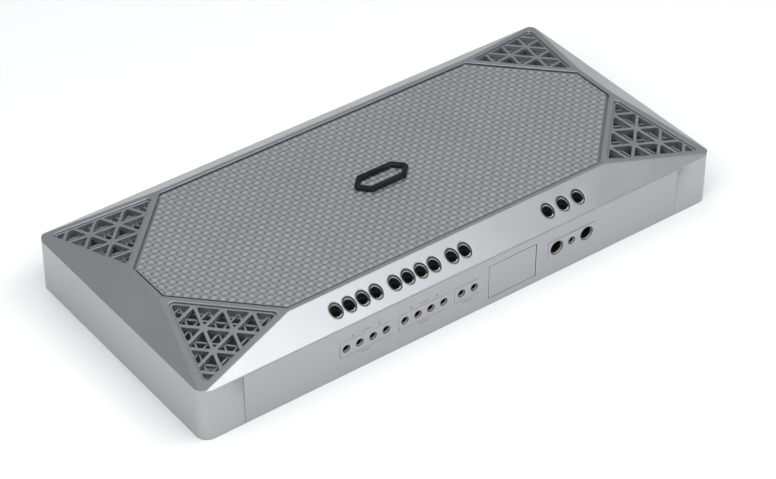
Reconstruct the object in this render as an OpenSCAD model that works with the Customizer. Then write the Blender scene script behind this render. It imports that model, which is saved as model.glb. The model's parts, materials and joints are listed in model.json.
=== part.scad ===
// Car amplifier, five channels. A die-cast aluminium housing with a bevelled top holds a patterned top
// panel, four corner grilles over the mounting wells, and two flush wall plates: wire terminals and fuses
// on the front (-Y), signal sockets and controls on the rear (+Y).
// Millimetres. Origin: middle of the underside, +X along the length, +Z up.

/* [Housing] */
// Length over the end walls
body_l = 451; // [445:1:470]
// Width over the front and rear plates
body_w = 210; // [208:1:220]
// Height of the upright walls, up to where the bevels begin
wall_h = 42.5; // [41:0.5:44]
// Height of the flat top
body_h = 57; // [56:0.5:60]
// Radius of the four upright corners
corner_r = 9; // [6:0.5:12]
// Thickness of the cast walls
wall_t = 3; // [2.5:0.5:3.5]

/* [Top panel] */
// Half of the panel seam's length
seam_x = 198.1; // [194:0.1:200]
// Half of the panel seam's width
seam_y = 78.5; // [76:0.1:80]
// Length and width taken off each corner of the panel seam
seam_cut = 60.6; // [58:0.1:62]
// Width of the seam around the panel
seam_gap = 1.5; // [0.6:0.1:2]
// Flat border between the seam and the bevels
border = 4; // [3:0.5:5]
// Depth of the pocket that holds the panel
pocket_depth = 3; // [2:0.5:4]

/* [Corner grilles] */
// Side of the triangular opening
tri_side = 78; // [74:1:80]
// Distance between grille nodes along a rib row
lattice_u = 20.3; // [19:0.1:21]
// Distance between rib rows
lattice_v = 18.5; // [17:0.1:19]
// Width of the upper ribs
rib_w = 2.2; // [1.6:0.1:3]

/* [Terminals] */
// Distance between neighbouring speaker wires
wire_pitch = 11.3; // [11:0.1:12]
// Distance between neighbouring power wires
power_pitch = 13.9; // [13.5:0.1:15]
// Height of the wire entries
wire_z = 23.4; // [22:0.1:24]
// Radius of a speaker terminal's wire bore
wire_r = 2.6; // [2:0.1:2.7]
// Radius of a supply terminal's wire bore
supply_r = 5.2; // [4:0.1:5.3]
// Distance of the clamping screws behind the front face
screw_back = 11.3; // [11:0.1:12]

/* [Controls] */
// Height of the row of rotary controls
knob_z = 28.5; // [28:0.5:29]
// Radius of a rotary control's cap
knob_r = 4.3; // [4:0.1:4.5]
// Height of the row of slide switches
slider_z = 15; // [15:0.5:16]

/* [Hidden] */
$fn = 48;

silver = [0.80, 0.81, 0.83];
panel_grey = [0.60, 0.61, 0.63];
grille_grey = [0.42, 0.43, 0.45];
plastic_black = [0.08, 0.08, 0.09];
nickel = [0.78, 0.76, 0.72];
steel = [0.62, 0.63, 0.65];
board_green = [0.07, 0.28, 0.16];
copper = [0.72, 0.42, 0.22];
ferrite = [0.22, 0.21, 0.20];
fuse_orange = [0.90, 0.42, 0.10];

// ---- shared geometry ----
eps = 0.01;
gap = 0.3;               // seam between flush neighbours
half_l = body_l / 2;
half_w = body_w / 2;
rise = body_h - wall_h;
// The flat top: the panel seam widened by the border
top_x = seam_x + border;
top_y = seam_y + border;
top_diag = seam_x + seam_y - seam_cut + border * sqrt(2);   // x + y along the cut corners
bevel_x_angle = atan(rise / (half_l - top_x));
bevel_y_angle = atan(rise / (half_w - top_y));
// A corner facet drops from the cut corner of the flat top to the upright corner
facet_run = (half_l + half_w - top_diag) / sqrt(2);
facet_angle = atan(rise / facet_run);
facet_mid_x = (top_x + top_diag - top_y) / 2;
facet_mid_y = (top_y + top_diag - top_x) / 2;
ceiling_z = body_h - pocket_depth - wall_t;
panel_low = 0.4;         // the panel's face lies this far below the border

// The triangular opening in a facet, pointing at the upright corner
tri_start = 1.2;                     // from the flat top's edge
tri_round = 3;
tri_radius = tri_side / sqrt(3);
tri_centre = tri_start + tri_radius / 2;
grille_depth = 8;
well_inset = 2;                      // ledge that the grille rests on
well_wall = 3.2;
foot_t = 5;
// Mounting hole: on the well's axis
foot_x = facet_mid_x + tri_centre * cos(facet_angle) * cos(45);
foot_y = facet_mid_y + tri_centre * cos(facet_angle) * sin(45);
foot_hole_r = 2.75;
corner_foot = 34;        // solid foot at each upright corner, measured from the plate's face
well_round = tri_round + 2;

// Wall plates
plate_half = 191.7;
plate_t = wall_t;
plate_top = wall_h - 1;
plate_back = half_w - plate_t;       // distance of a plate's inner face from the middle

// Levels inside
base_t = 2;
sheet_t = 0.4;
board_z = 8;
board_t = 1.6;
board_top = board_z + board_t;
block_top = 35;

// Terminals
speaker_front_x = -91.2;
speaker_rear_x = -41.3;
subwoofer_x = -3;
power_x = 91.6;
screw_y = -half_w + screw_back;
bevel_z_at_screw = wall_h + screw_back * tan(bevel_y_angle);
bush_r = 5.1;
bush_bore_r = 3.3;
bush_step_r = 4.4;
bush_step_z = bevel_z_at_screw - 3.4;
hole_clear = 0.08;
block_front = -plate_back + 0.2;
block_back = -84;
barrel_half = 4;
nose_wall = 0.6;         // the barrel's nose reaches through the terminal plate
nose_clear = 0.1;
supply_half = 7;
pad_t = 0.5;
nose_front = -half_w - pad_t + 0.3;

// Fuse bay
fuse_bay_x = 37.65;
fuse_bay_z = 20.75;
fuse_cover_l = 42.3;
fuse_cover_h = 28.3;
fuse_pitch = 11.5;
fuse_body = [5.1, 12, 19.1];
fuse_face_y = -96;

// Control positions along the rear plate
front_x = 57;
rear_x = 7;
sub_x = -43;
knob_spread = 11;
boost_x = -79;
rca_xs = [96, 112, 128];
rca_zs = [16, 30];
rca_r = 4.15;
rca_out = 9;
rca_neck_r = 3.9;
rca_neck_out = 0.5;      // the neck shows this far outside the plate
socket_x = -104;
socket_z = 20;
socket_face = [13, 14];
light_x = -124;
light_r = 1.5;
light_collar_r = 2.4;
knob_hole_r = knob_r + 0.35;
slot_l = 8.4;
slot_h = 3.4;
slider_travel = 2;

// Screw positions
base_bosses = [[214, 12], [172, 96]];
plate_boss = [150, 96.5];
spacer_xy = [[170, 20], [95, 60]];
boss_r = 4;
thread_r = 1.6;
thread_depth = 14;
screw_r = 1.5;
head_r = 3;
head_t = 1.6;
slip = 0.1;              // radial room around a bar screw in the housing
bar_head_t = 2;
bar_y = 70;
bar_t = 8;
bar_half = 138;
bar_screw_xs = [-110, 0, 110];
bar_screw_r = 2;
bar_head_r = 4;
transistor_pitch = 40;
transistor_count = 6;
transformer_xs = [-140, -82];
capacitor_xs = [20, 44, 68, 92];
inductor_xs = [118, 148];

// ---- helpers ----
module four_corners() {
    for (sx = [0, 1])
        for (sy = [0, 1])
            mirror([sx, 0, 0]) mirror([0, sy, 0]) children();
}

module both_ends() {
    children();
    mirror([1, 0, 0]) children();
}

module both_sides() {
    children();
    mirror([0, 1, 0]) children();
}

// Block with rounded upright edges, centred on the Z axis, standing on z = 0
module rounded_block(l, w, h, r) {
    translate([-l / 2 + r, -w / 2, 0]) cube([l - 2 * r, w, h]);
    translate([-l / 2, -w / 2 + r, 0]) cube([l, w - 2 * r, h]);
    for (x = [-1, 1])
        for (y = [-1, 1])
            translate([x * (l / 2 - r), y * (w / 2 - r), 0]) cylinder(r = r, h = h);
}

// Equilateral triangle of circumradius R with rounded corners, one corner on +X
module rounded_triangle(R, r, h) {
    c = R - 2 * r;
    linear_extrude(h)
        polygon([for (corner = [0, 120, 240]) for (a = [corner - 60 : 20 : corner + 60])
            [c * cos(corner) + r * cos(a), c * sin(corner) + r * sin(a)]]);
}

// Octagon with 45 degree cut corners, as an upright prism
module octagon_block(hx, hy, cut, h) {
    linear_extrude(h)
        polygon([[hx - cut, hy], [hx, hy - cut], [hx, cut - hy], [hx - cut, -hy],
            [cut - hx, -hy], [-hx, cut - hy], [-hx, hy - cut], [cut - hx, hy]]);
}

// Cylinder lying along Y, from y0 to y1
module rod_y(x, y0, y1, z, r) {
    translate([x, y0, z]) rotate([-90, 0, 0]) cylinder(r = r, h = y1 - y0);
}

// Box given by its middle in X and Z and its span in Y
module slab(x, y0, y1, z, l, h) {
    translate([x - l / 2, y0, z - h / 2]) cube([l, y1 - y0, h]);
}

// Moves into the frame of the facet at +X +Y: +X down the slope, +Z out of the surface
module on_facet() {
    translate([facet_mid_x, facet_mid_y, body_h]) rotate([0, facet_angle, 45]) children();
}

// Moves to the axis of the mounting well at +X +Y, upright
module at_well() {
    translate([foot_x, foot_y, 0]) rotate([0, 0, 45]) children();
}

// The housing's outer form, pulled in by inset all round
module outer_form(inset) {
    reach = body_l;
    difference() {
        rounded_block(body_l - 2 * inset, body_w - 2 * inset, body_h - inset, max(corner_r - inset, 1));
        both_ends()
            translate([half_l, 0, wall_h]) rotate([0, bevel_x_angle, 0])
                translate([-reach / 4, -reach / 2, -inset]) cube([reach / 2, reach, rise * 2]);
        both_sides()
            translate([0, half_w, wall_h]) rotate([-bevel_y_angle, 0, 0])
                translate([-reach / 2, -reach / 6, -inset]) cube([reach, reach / 3, rise * 2]);
        four_corners()
            on_facet() translate([-reach / 10, -reach / 4, -inset]) cube([reach / 2, reach / 2, rise * 2]);
    }
}

// A row of count places around x, one pitch apart
module at_group(x, count, pitch) {
    for (i = [0 : count - 1])
        translate([x + (i - (count - 1) / 2) * pitch, 0, 0]) children();
}

module at_speaker_wires() {
    at_group(speaker_front_x, 4, wire_pitch) children();
    at_group(speaker_rear_x, 4, wire_pitch) children();
    at_group(subwoofer_x, 2, wire_pitch) children();
}

module at_supply_wires() {
    at_group(power_x, 2, 2 * power_pitch) children();
}

module at_every_wire() {
    at_speaker_wires() children();
    at_supply_wires() children();
    translate([power_x, 0, 0]) children();
}

// ---- outer pieces ----
module housing() {
    color(silver) difference() {
        union() {
            difference() {
                outer_form(0);
                intersection() {
                    outer_form(wall_t);
                    translate([-half_l, -half_w, -1]) cube([body_l, body_w, ceiling_z + 1]);
                }
            }
            // Walls and feet of the mounting wells
            intersection() {
                outer_form(0);
                four_corners() at_well()
                    rounded_triangle(tri_radius + 2 * well_wall, well_round, body_h);
            }
            intersection() {
                outer_form(0);
                four_corners() translate([plate_half + gap, half_w - corner_foot, 0])
                    cube([2 * corner_foot, 2 * corner_foot, foot_t]);
            }
            // Bosses for the base screws
            intersection() {
                outer_form(0);
                four_corners()
                    for (b = base_bosses)
                        translate([b[0], b[1], base_t]) cylinder(r = boss_r, h = body_h);
            }
        }
        // Pocket for the top panel
        translate([0, 0, body_h - pocket_depth])
            octagon_block(seam_x + seam_gap / 2, seam_y + seam_gap / 2, seam_cut, pocket_depth + 1);
        // Mounting wells, each with a seat for its grille and a hole through the foot
        four_corners() {
            on_facet() translate([tri_centre, 0, -grille_depth])
                rounded_triangle(tri_radius, tri_round, grille_depth + 1);
            at_well() translate([0, 0, foot_t])
                rounded_triangle(tri_radius - 2 * well_inset, tri_round, body_h - foot_t - grille_depth);
            translate([foot_x, foot_y, -1]) cylinder(r = foot_hole_r, h = foot_t + 2);
        }
        // Openings for the wall plates
        both_sides()
            translate([-plate_half - gap, half_w - plate_t - eps, -1])
                cube([2 * (plate_half + gap), plate_t + 1, plate_top + gap + 1]);
        // Holes over the clamping screws
        at_every_wire()
            translate([0, screw_y, block_top]) cylinder(r = bush_r + hole_clear, h = body_h);
        // Threads for the base screws and the heat bars
        four_corners()
            for (b = base_bosses)
                translate([b[0], b[1], 0]) cylinder(r = thread_r, h = thread_depth);
        both_sides()
            for (x = bar_screw_xs)
                translate([x, bar_y, ceiling_z]) {
                    translate([0, 0, -1]) cylinder(r = bar_screw_r + slip, h = wall_t + 2);
                    translate([0, 0, wall_t - bar_head_t])
                        cylinder(r1 = bar_screw_r + slip, r2 = bar_head_r + slip, h = bar_head_t);
                }
    }
}

module top_panel() {
    inset = seam_gap / 2;
    color(panel_grey) translate([0, 0, body_h - pocket_depth])
        octagon_block(seam_x - inset, seam_y - inset, seam_cut, pocket_depth - panel_low);
}

// Plain ring with cut corners
module badge() {
    half = [23, 10];
    cut = 8;
    ring = 4.5;
    height = 3;
    color(plastic_black) translate([0, 0, body_h - panel_low]) difference() {
        octagon_block(half[0], half[1], cut, height);
        translate([0, 0, -1]) octagon_block(half[0] - ring, half[1] - ring, cut - 3, height + 2);
    }
}

// Outline of one lattice cell: its corners a, b, c drawn in by half a rib and trimmed for round-ish nodes
function cell_outline(a, b, c, shrink, trim) =
    let (mid = (a + b + c) / 3, p = [for (q = [a, b, c]) mid + shrink * (q - mid)])
    [for (i = [0 : 2]) for (j = [2, 1]) p[i] + trim * (p[(i + j) % 3] - p[i])];

// Cuts the triangular cells of a lattice whose nodes lie u apart along rows v apart
module lattice_cells(u, v, start, rows, rib, trim, h) {
    tip = tri_start + tri_side * cos(30);
    inner_r = u * v / (u + 2 * norm([v, u / 2]));
    shrink = 1 - rib / 2 / inner_r;
    for (i = [0 : rows - 1])
        for (k = [-rows : rows]) {
            x = start + i * v;
            y = (k + (i % 2) / 2) * u;
            if (abs(y) < (tip - x - v * 2 / 3) * tan(30) - 0.5)
                linear_extrude(h)
                    polygon(cell_outline([x, y], [x + v, y - u / 2], [x + v, y + u / 2], shrink, trim));
            if (abs(y + u / 2) < (tip - x - v / 3) * tan(30) - 0.5)
                linear_extrude(h)
                    polygon(cell_outline([x, y], [x + v, y + u / 2], [x, y + u], shrink, trim));
        }
}

// Press-in cover: a coarse lattice over a fine one, joined by a rim
module corner_grille() {
    clear = 0.35;
    rim = 1.1;
    upper = [-4.4, -1.4];            // depths of the coarse lattice's back and front
    lower = [-7.7, -5.6];            // and of the fine one's
    fine_rib = 1.3;
    node_trim = 0.07;
    coarse_rows = 4;
    first_row = tri_start + 0.6;
    inner_r = tri_radius - 2 * (clear + rim);
    color(grille_grey) on_facet() difference() {
        translate([tri_centre, 0, lower[0]])
            rounded_triangle(tri_radius - 2 * clear, tri_round - clear, upper[1] - lower[0]);
        translate([tri_centre, 0, lower[1]])
            rounded_triangle(inner_r, tri_round - 1, upper[0] - lower[1]);
        intersection() {
            translate([tri_centre, 0, lower[0] - 1])
                rounded_triangle(inner_r, tri_round - 1, grille_depth);
            union() {
                translate([0, 0, upper[0] - 0.2])
                    lattice_cells(lattice_u, lattice_v, first_row, coarse_rows, rib_w, node_trim, 4);
                translate([0, 0, lower[0] - 1])
                    lattice_cells(lattice_u / 2, lattice_v / 2, first_row, 2 * coarse_rows - 1, fine_rib, 0,
                        lower[1] - lower[0] + 1.2);
            }
        }
    }
}

module grille_front_left() {
    mirror([1, 0, 0]) mirror([0, 1, 0]) corner_grille();
}

module grille_front_right() {
    mirror([0, 1, 0]) corner_grille();
}

module grille_rear_left() {
    mirror([1, 0, 0]) corner_grille();
}

module grille_rear_right() {
    corner_grille();
}

// Wall plate with end flanges behind the housing and two bosses for screws from below, at +Y
module wall_plate() {
    flange_h = plate_top - foot_t - 2;
    web = 4;
    flange_l = 9;
    flange_t = 2.4;
    boss_h = 12;
    translate([-plate_half, plate_back, 0]) cube([2 * plate_half, plate_t, plate_top]);
    both_ends() {
        translate([plate_half - web, plate_back - flange_t - 0.1, foot_t + 0.5]) {
            cube([web, flange_t + 0.1 + eps, flange_h]);
            cube([flange_l, flange_t, flange_h]);
        }
        difference() {
            translate([plate_boss[0] - boss_r, plate_boss[1] - boss_r, base_t])
                cube([2 * boss_r, plate_back - plate_boss[1] + boss_r + eps, boss_h]);
            translate([plate_boss[0], plate_boss[1], 0]) cylinder(r = thread_r, h = boss_h);
        }
    }
}

module terminal_plate() {
    pad_h = 11.9;
    supply_pad_h = 16;
    side = [9.6, 11.4, 14.6];        // pad length beyond the outer wires: speaker, subwoofer, supply
    color(silver) difference() {
        union() {
            mirror([0, 1, 0]) wall_plate();
            // Raised pads around the groups of wire entries
            for (x = [speaker_front_x, speaker_rear_x])
                slab(x, -half_w - pad_t, -half_w + 1, wire_z - 0.4, 3 * wire_pitch + side[0], pad_h);
            slab(subwoofer_x, -half_w - pad_t, -half_w + 1, wire_z - 0.4, wire_pitch + side[1], pad_h);
            slab(power_x, -half_w - pad_t, -half_w + 1, wire_z - 0.8,
                2 * power_pitch + side[2], supply_pad_h);
        }
        at_speaker_wires() rod_y(0, -half_w - 1, -plate_back + 1, wire_z, wire_r + nose_wall + nose_clear);
        at_supply_wires() rod_y(0, -half_w - 1, -plate_back + 1, wire_z, supply_r + nose_wall + nose_clear);
        rod_y(power_x, -half_w - 1, -plate_back + 1, wire_z, wire_r + nose_wall + nose_clear);
        slab(fuse_bay_x, -half_w - 1, -plate_back + 1, fuse_bay_z, fuse_cover_l + 1, fuse_cover_h + 1);
    }
}

module control_plate() {
    color(silver) difference() {
        wall_plate();
        for (x = rca_xs)
            for (z = rca_zs)
                rod_y(x, plate_back - 1, half_w + 1, z, rca_r + gap);
        for (x = knob_xs())
            rod_y(x, plate_back - 1, half_w + 1, knob_z, knob_hole_r);
        for (x = [front_x, rear_x, sub_x])
            slab(x, plate_back - 1, half_w + 1, slider_z, slot_l, slot_h);
        slab(socket_x, plate_back - 1, half_w + 1, socket_z, socket_face[0] + 0.4, socket_face[1] + 0.4);
        for (z = [slider_z, knob_z])
            rod_y(light_x, plate_back - 1, half_w + 1, z, light_r + 0.1);
    }
}

module base_plate() {
    edge_round = 5;
    color(steel) difference() {
        rounded_block(body_l - 2 * (wall_t + gap), 2 * (plate_back - gap), base_t, edge_round);
        four_corners() {
            at_well() translate([0, 0, -1])
                rounded_triangle(tri_radius + 2 * (well_wall + gap), well_round, base_t + 2);
            translate([plate_half, half_w - corner_foot - gap, -1])
                cube([2 * corner_foot, 2 * corner_foot, base_t + 2]);
            for (b = concat(base_bosses, [plate_boss]))
                translate([b[0], b[1], 0]) {
                    translate([0, 0, -1]) cylinder(r = thread_r, h = base_t + 2);
                    cylinder(r1 = head_r + slip, r2 = thread_r, h = head_t);
                }
        }
    }
}

// Cross slot for a screwdriver, 2 deep from z0 up
module cross_slot(z0) {
    slot = [3.2, 0.7, 2];
    for (a = [0, 90])
        rotate([0, 0, a]) translate([-slot[0] / 2, -slot[1] / 2, z0]) cube(slot);
}

// Countersunk screw pointing up from z = 0
module base_screw(length) {
    difference() {
        union() {
            cylinder(r1 = head_r, r2 = screw_r, h = head_t);
            cylinder(r = screw_r, h = length);
        }
        cross_slot(-1);
    }
}

module base_screws() {
    color(steel) four_corners()
        for (b = base_bosses)
            translate([b[0], b[1], 0]) base_screw(12);
}

module plate_screws() {
    color(steel) four_corners()
        translate([plate_boss[0], plate_boss[1], 0]) base_screw(11);
}

// ---- fuses ----
blade = [0.8, 7, 5.2];
blade_z = 6.8;
clip = [3, 0.6, 6.4];    // width, thickness of its back, height
holder_back = -76;

module fuse_cover() {
    cover_t = 2;
    tongue = [1.4, 5, 10];
    color(silver) {
        slab(fuse_bay_x, -half_w, -half_w + cover_t, fuse_bay_z, fuse_cover_l, fuse_cover_h);
        for (s = [-1, 1])
            slab(fuse_bay_x + s * (fuse_cover_l / 2 - 1), -half_w + cover_t, -half_w + cover_t + tongue[1],
                fuse_bay_z, tongue[0], tongue[2]);
    }
}

module at_fuses() {
    for (i = [-1 : 1])
        translate([fuse_bay_x + i * fuse_pitch, 0, fuse_bay_z]) children();
}

module fuse_holder() {
    fuse_back = fuse_face_y + fuse_body[1];
    pocket_floor = fuse_face_y + 6;
    holder_l = fuse_cover_l + 4;
    lip_z = 5;
    lip_back = -93;                  // clear of the board's edge
    color(plastic_black) difference() {
        union() {
            slab(fuse_bay_x, block_front, holder_back, (board_top + block_top) / 2,
                holder_l, block_top - board_top);
            slab(fuse_bay_x, block_front, lip_back, (board_top + lip_z) / 2,
                holder_l, board_top - lip_z + eps);
        }
        slab(fuse_bay_x, block_front - 1, pocket_floor, fuse_bay_z, fuse_cover_l - 0.2, fuse_body[2] + 3);
        at_fuses() {
            slab(0, pocket_floor - 1, fuse_back, 0, fuse_body[0] + 0.3, fuse_body[2] + 0.3);
            for (s = [-1, 1])
                slab(0, fuse_back - 1, holder_back + 1, s * blade_z, clip[0] + slip, clip[2] + slip);
        }
    }
}

module fuse_bodies() {
    grip = [3, 8, 13.1];             // from and to behind the face, height
    color(fuse_orange) at_fuses() difference() {
        slab(0, fuse_face_y, fuse_face_y + fuse_body[1], 0, fuse_body[0], fuse_body[2]);
        // Grip shoulders
        for (s = [-1, 1])
            slab(s * fuse_body[0] / 2, fuse_face_y + grip[0], fuse_face_y + grip[1], 0, 1, grip[2]);
    }
}

module fuse_blades() {
    y0 = fuse_face_y + fuse_body[1];
    color(nickel) at_fuses()
        for (s = [-1, 1])
            slab(0, y0, y0 + blade[1], s * blade_z, blade[0], blade[2]);
}

module fuse_clips() {
    y0 = fuse_face_y + fuse_body[1];
    color(copper) at_fuses()
        for (s = [-1, 1])
            difference() {
                slab(0, y0 + 0.2, holder_back, s * blade_z, clip[0], clip[2]);
                slab(0, y0, holder_back - clip[1], s * blade_z, blade[0] + 0.04, blade[2] + 0.2);
            }
}

// ---- wire terminals ----
supply_low = 7.5;
supply_high = 9.6;
barrel_low = 4.5;
barrel_high = 7;
speaker_thread = 2.2;
supply_thread = 3.7;
thread_clear = 0.05;
screw_room = 0.8;        // share of a terminal's half width left open above its screw
speaker_screw_top = 32;
block_gap = 0.4;
supply_side = 1.2;
supply_screw_top = 34.4;

// Metal body of one terminal, its bore along Y and its screw along Z
module barrel(half, bore_r, thread, low, high) {
    difference() {
        union() {
            translate([-half, block_front, wire_z - low])
                cube([2 * half, block_back - 2 - block_front, low + high]);
            rod_y(0, nose_front, block_front + 1, wire_z, bore_r + nose_wall);
        }
        rod_y(0, nose_front - 1, block_back - 4, wire_z, bore_r);
        translate([0, screw_y, wire_z]) cylinder(r = thread, h = high + 1);
    }
}

// Room for one terminal and its screw inside a block
module barrel_room(half, low, high) {
    translate([-half - hole_clear, block_front - 1, wire_z - low - hole_clear])
        cube([2 * (half + hole_clear), block_back - block_front - 1 + hole_clear,
            low + high + 2 * hole_clear]);
    translate([0, screw_y, wire_z]) cylinder(r = half * screw_room, h = block_top);
}

module block_body(x, length) {
    slab(x, block_front, block_back, (board_top + block_top) / 2, length, block_top - board_top);
}

module speaker_block(x, count) {
    color(plastic_black) difference() {
        block_body(x, count * wire_pitch - block_gap);
        at_group(x, count, wire_pitch) barrel_room(barrel_half, barrel_low, barrel_high);
    }
}

module front_speaker_block() {
    speaker_block(speaker_front_x, 4);
}

module rear_speaker_block() {
    speaker_block(speaker_rear_x, 4);
}

module subwoofer_block() {
    speaker_block(subwoofer_x, 2);
}

module power_block() {
    color(plastic_black) difference() {
        block_body(power_x, 2 * power_pitch + 2 * (supply_half + supply_side));
        at_supply_wires() barrel_room(supply_half, supply_low, supply_high);
        translate([power_x, 0, 0]) barrel_room(barrel_half, barrel_low, barrel_high);
    }
}

module speaker_barrels() {
    color(nickel) at_speaker_wires() barrel(barrel_half, wire_r, speaker_thread, barrel_low, barrel_high);
}

module power_barrels() {
    color(nickel) {
        at_supply_wires() barrel(supply_half, supply_r, supply_thread, supply_low, supply_high);
        translate([power_x, 0, 0]) barrel(barrel_half, wire_r, speaker_thread, barrel_low, barrel_high);
    }
}

// Socket set screw standing open above the wire bore
module set_screw(r, bore_r, top) {
    z0 = wire_z + bore_r + 0.4;
    socket_depth = 2.2;
    socket_share = 0.55;
    translate([0, screw_y, z0]) difference() {
        cylinder(r = r, h = top - z0);
        translate([0, 0, top - z0 - socket_depth])
            cylinder(r = r * socket_share, h = socket_depth + 1, $fn = 6);
    }
}

module speaker_set_screws() {
    color(steel) at_speaker_wires() set_screw(speaker_thread - thread_clear, wire_r, speaker_screw_top);
}

module power_set_screws() {
    color(steel) {
        at_supply_wires() set_screw(supply_thread - thread_clear, supply_r, supply_screw_top);
        translate([power_x, 0, 0]) set_screw(speaker_thread - thread_clear, wire_r, speaker_screw_top);
    }
}

module screw_bushes() {
    color(plastic_black) intersection() {
        outer_form(0.25);
        difference() {
            at_every_wire() translate([0, screw_y, block_top]) cylinder(r = bush_r, h = body_h);
            at_every_wire() translate([0, screw_y, block_top - 1]) cylinder(r = bush_bore_r, h = body_h);
            at_every_wire() translate([0, screw_y, bush_step_z]) cylinder(r = bush_step_r, h = body_h);
        }
    }
}

// ---- boards ----
board_half = [200, 92];
board_cut = 76;
board_hole_r = 1.7;
spacer_r = 3;
spacer_bore_r = 1.55;
pan_head_r = 2.8;
driver_y = 50;
driver_l = 120;
driver_z = [18, 46];
connector_l = 90;
chip = [12, 1.8, 9];
chip_z = 34;
chip_pitch = 28;

module at_spacers() {
    four_corners()
        for (p = spacer_xy)
            translate([p[0], p[1], 0]) children();
}

module main_board() {
    color(board_green) difference() {
        translate([0, 0, board_z]) octagon_block(board_half[0], board_half[1], board_cut, board_t);
        at_spacers() translate([0, 0, board_z - 1]) cylinder(r = board_hole_r, h = board_t + 2);
    }
}

module insulating_sheet() {
    color([0.85, 0.83, 0.75]) difference() {
        translate([0, 0, base_t]) octagon_block(board_half[0] - 2, board_half[1] - 2, board_cut, sheet_t);
        at_spacers() cylinder(r = spacer_r + gap, h = 2 * base_t);
    }
}

module board_spacers() {
    color(nickel) at_spacers() translate([0, 0, base_t]) difference() {
        cylinder(r = spacer_r, h = board_z - base_t);
        translate([0, 0, 1]) cylinder(r = spacer_bore_r, h = board_z);
    }
}

module board_screws() {
    color(steel) at_spacers() difference() {
        union() {
            translate([0, 0, board_z - 4]) cylinder(r = screw_r, h = 4 + board_t);
            translate([0, 0, board_top]) cylinder(r = pan_head_r, h = 2);
        }
        cross_slot(board_top + 1);
    }
}

module driver_board() {
    color(board_green) slab(0, driver_y, driver_y + board_t, (driver_z[0] + driver_z[1]) / 2, driver_l,
        driver_z[1] - driver_z[0]);
}

module board_connector() {
    color(plastic_black) slab(0, driver_y - 2, driver_y + board_t + 2, (board_top + driver_z[0]) / 2,
        connector_l, driver_z[0] - board_top);
}

module driver_chips() {
    color(plastic_black)
        at_group(0, 4, chip_pitch) slab(0, driver_y - chip[1], driver_y, chip_z, chip[0], chip[2]);
}

// ---- power parts ----
core_r = 15;
core = [7, 16];
winding_t = 3;
capacitor_r = 10;
capacitor_h = 35;
bobbin_r = 11;
bobbin_h = 20;
bobbin_core_r = 5;
bobbin_flange = 2;
coil_r = 10;
transistor = [16, 5, 21];
transistor_t = transistor[1];
leg = [1.2, 0.8];
leg_pitch = 5.45;
clamp_t = 1.2;
clamp_half = 112;
clamp_h = 8;
clamp_head_t = 2;
bar_thread = 12;         // depth of a bar screw's thread, and of its hole
clamp_z = 29;
transistor_face = bar_y - bar_t / 2 - transistor_t;

function transistor_x(i) = (i - (transistor_count - 1) / 2) * transistor_pitch;
function clamp_x(i) = transistor_x(i) - transistor_pitch / 2;

module transformer_cores() {
    color(ferrite)
        for (x = transformer_xs)
            translate([x, 0, board_top + winding_t]) rotate_extrude() translate([core_r, 0]) square(core);
}

// Two half windings wrapped around each core
module transformer_windings() {
    color(copper)
        for (x = transformer_xs)
            for (a = [10, 190])
                translate([x, 0, board_top]) rotate([0, 0, a]) rotate_extrude(angle = 160) difference() {
                    translate([core_r - winding_t, 0])
                        square([core[0] + 2 * winding_t, core[1] + 2 * winding_t]);
                    translate([core_r, winding_t]) square(core);
                }
}

module rail_capacitors() {
    color([0.12, 0.13, 0.2])
        for (x = capacitor_xs)
            for (y = [-20, 20])
                translate([x, y, board_top]) cylinder(r = capacitor_r, h = capacitor_h);
}

module at_inductors() {
    for (y = [-26, 0, 26])
        translate([inductor_xs[0], y, board_top]) children();
    for (y = [-13, 13])
        translate([inductor_xs[1], y, board_top]) children();
}

module inductor_cores() {
    color(ferrite) at_inductors() rotate_extrude()
        polygon([[0, 0], [bobbin_r, 0], [bobbin_r, bobbin_flange], [bobbin_core_r, bobbin_flange],
            [bobbin_core_r, bobbin_h - bobbin_flange], [bobbin_r, bobbin_h - bobbin_flange], [bobbin_r, bobbin_h],
            [0, bobbin_h]]);
}

module inductor_windings() {
    color(copper) at_inductors() translate([0, 0, bobbin_flange]) difference() {
        cylinder(r = coil_r, h = bobbin_h - 2 * bobbin_flange);
        translate([0, 0, -1]) cylinder(r = bobbin_core_r, h = bobbin_h);
    }
}

module heat_bars() {
    z0 = board_top + 2.4;
    color([0.7, 0.71, 0.72]) both_sides() difference() {
        slab(0, bar_y - bar_t / 2, bar_y + bar_t / 2, (z0 + ceiling_z) / 2, 2 * bar_half, ceiling_z - z0);
        for (x = bar_screw_xs)
            translate([x, bar_y, ceiling_z - bar_thread])
                cylinder(r = bar_screw_r + thread_clear, h = bar_thread + 1);
        for (i = [1 : transistor_count - 1])
            rod_y(clamp_x(i), bar_y - bar_t, bar_y + 1, clamp_z, screw_r + thread_clear);
    }
}

module heat_bar_screws() {
    color(steel) both_sides()
        for (x = bar_screw_xs)
            translate([x, bar_y, ceiling_z + wall_t - bar_thread]) {
                cylinder(r = bar_screw_r, h = bar_thread);
                translate([0, 0, bar_thread - bar_head_t])
                    cylinder(r1 = bar_screw_r, r2 = bar_head_r, h = bar_head_t);
            }
}

module power_transistors() {
    color(plastic_black) both_sides()
        for (i = [0 : transistor_count - 1]) {
            slab(transistor_x(i), transistor_face, transistor_face + transistor_t, clamp_z,
                transistor[0], transistor[2]);
            at_group(transistor_x(i), 3, leg_pitch)
                translate([-leg[0] / 2, transistor_face + 2, board_top])
                    cube([leg[0], leg[1], clamp_z - transistor[2] / 2 - board_top]);
        }
}

module transistor_clamps() {
    color(steel) both_sides() difference() {
        slab(0, transistor_face - clamp_t, transistor_face, clamp_z, 2 * clamp_half, clamp_h);
        for (i = [1 : transistor_count - 1])
            rod_y(clamp_x(i), transistor_face - 2, transistor_face + 1, clamp_z, thread_r);
    }
}

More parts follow.
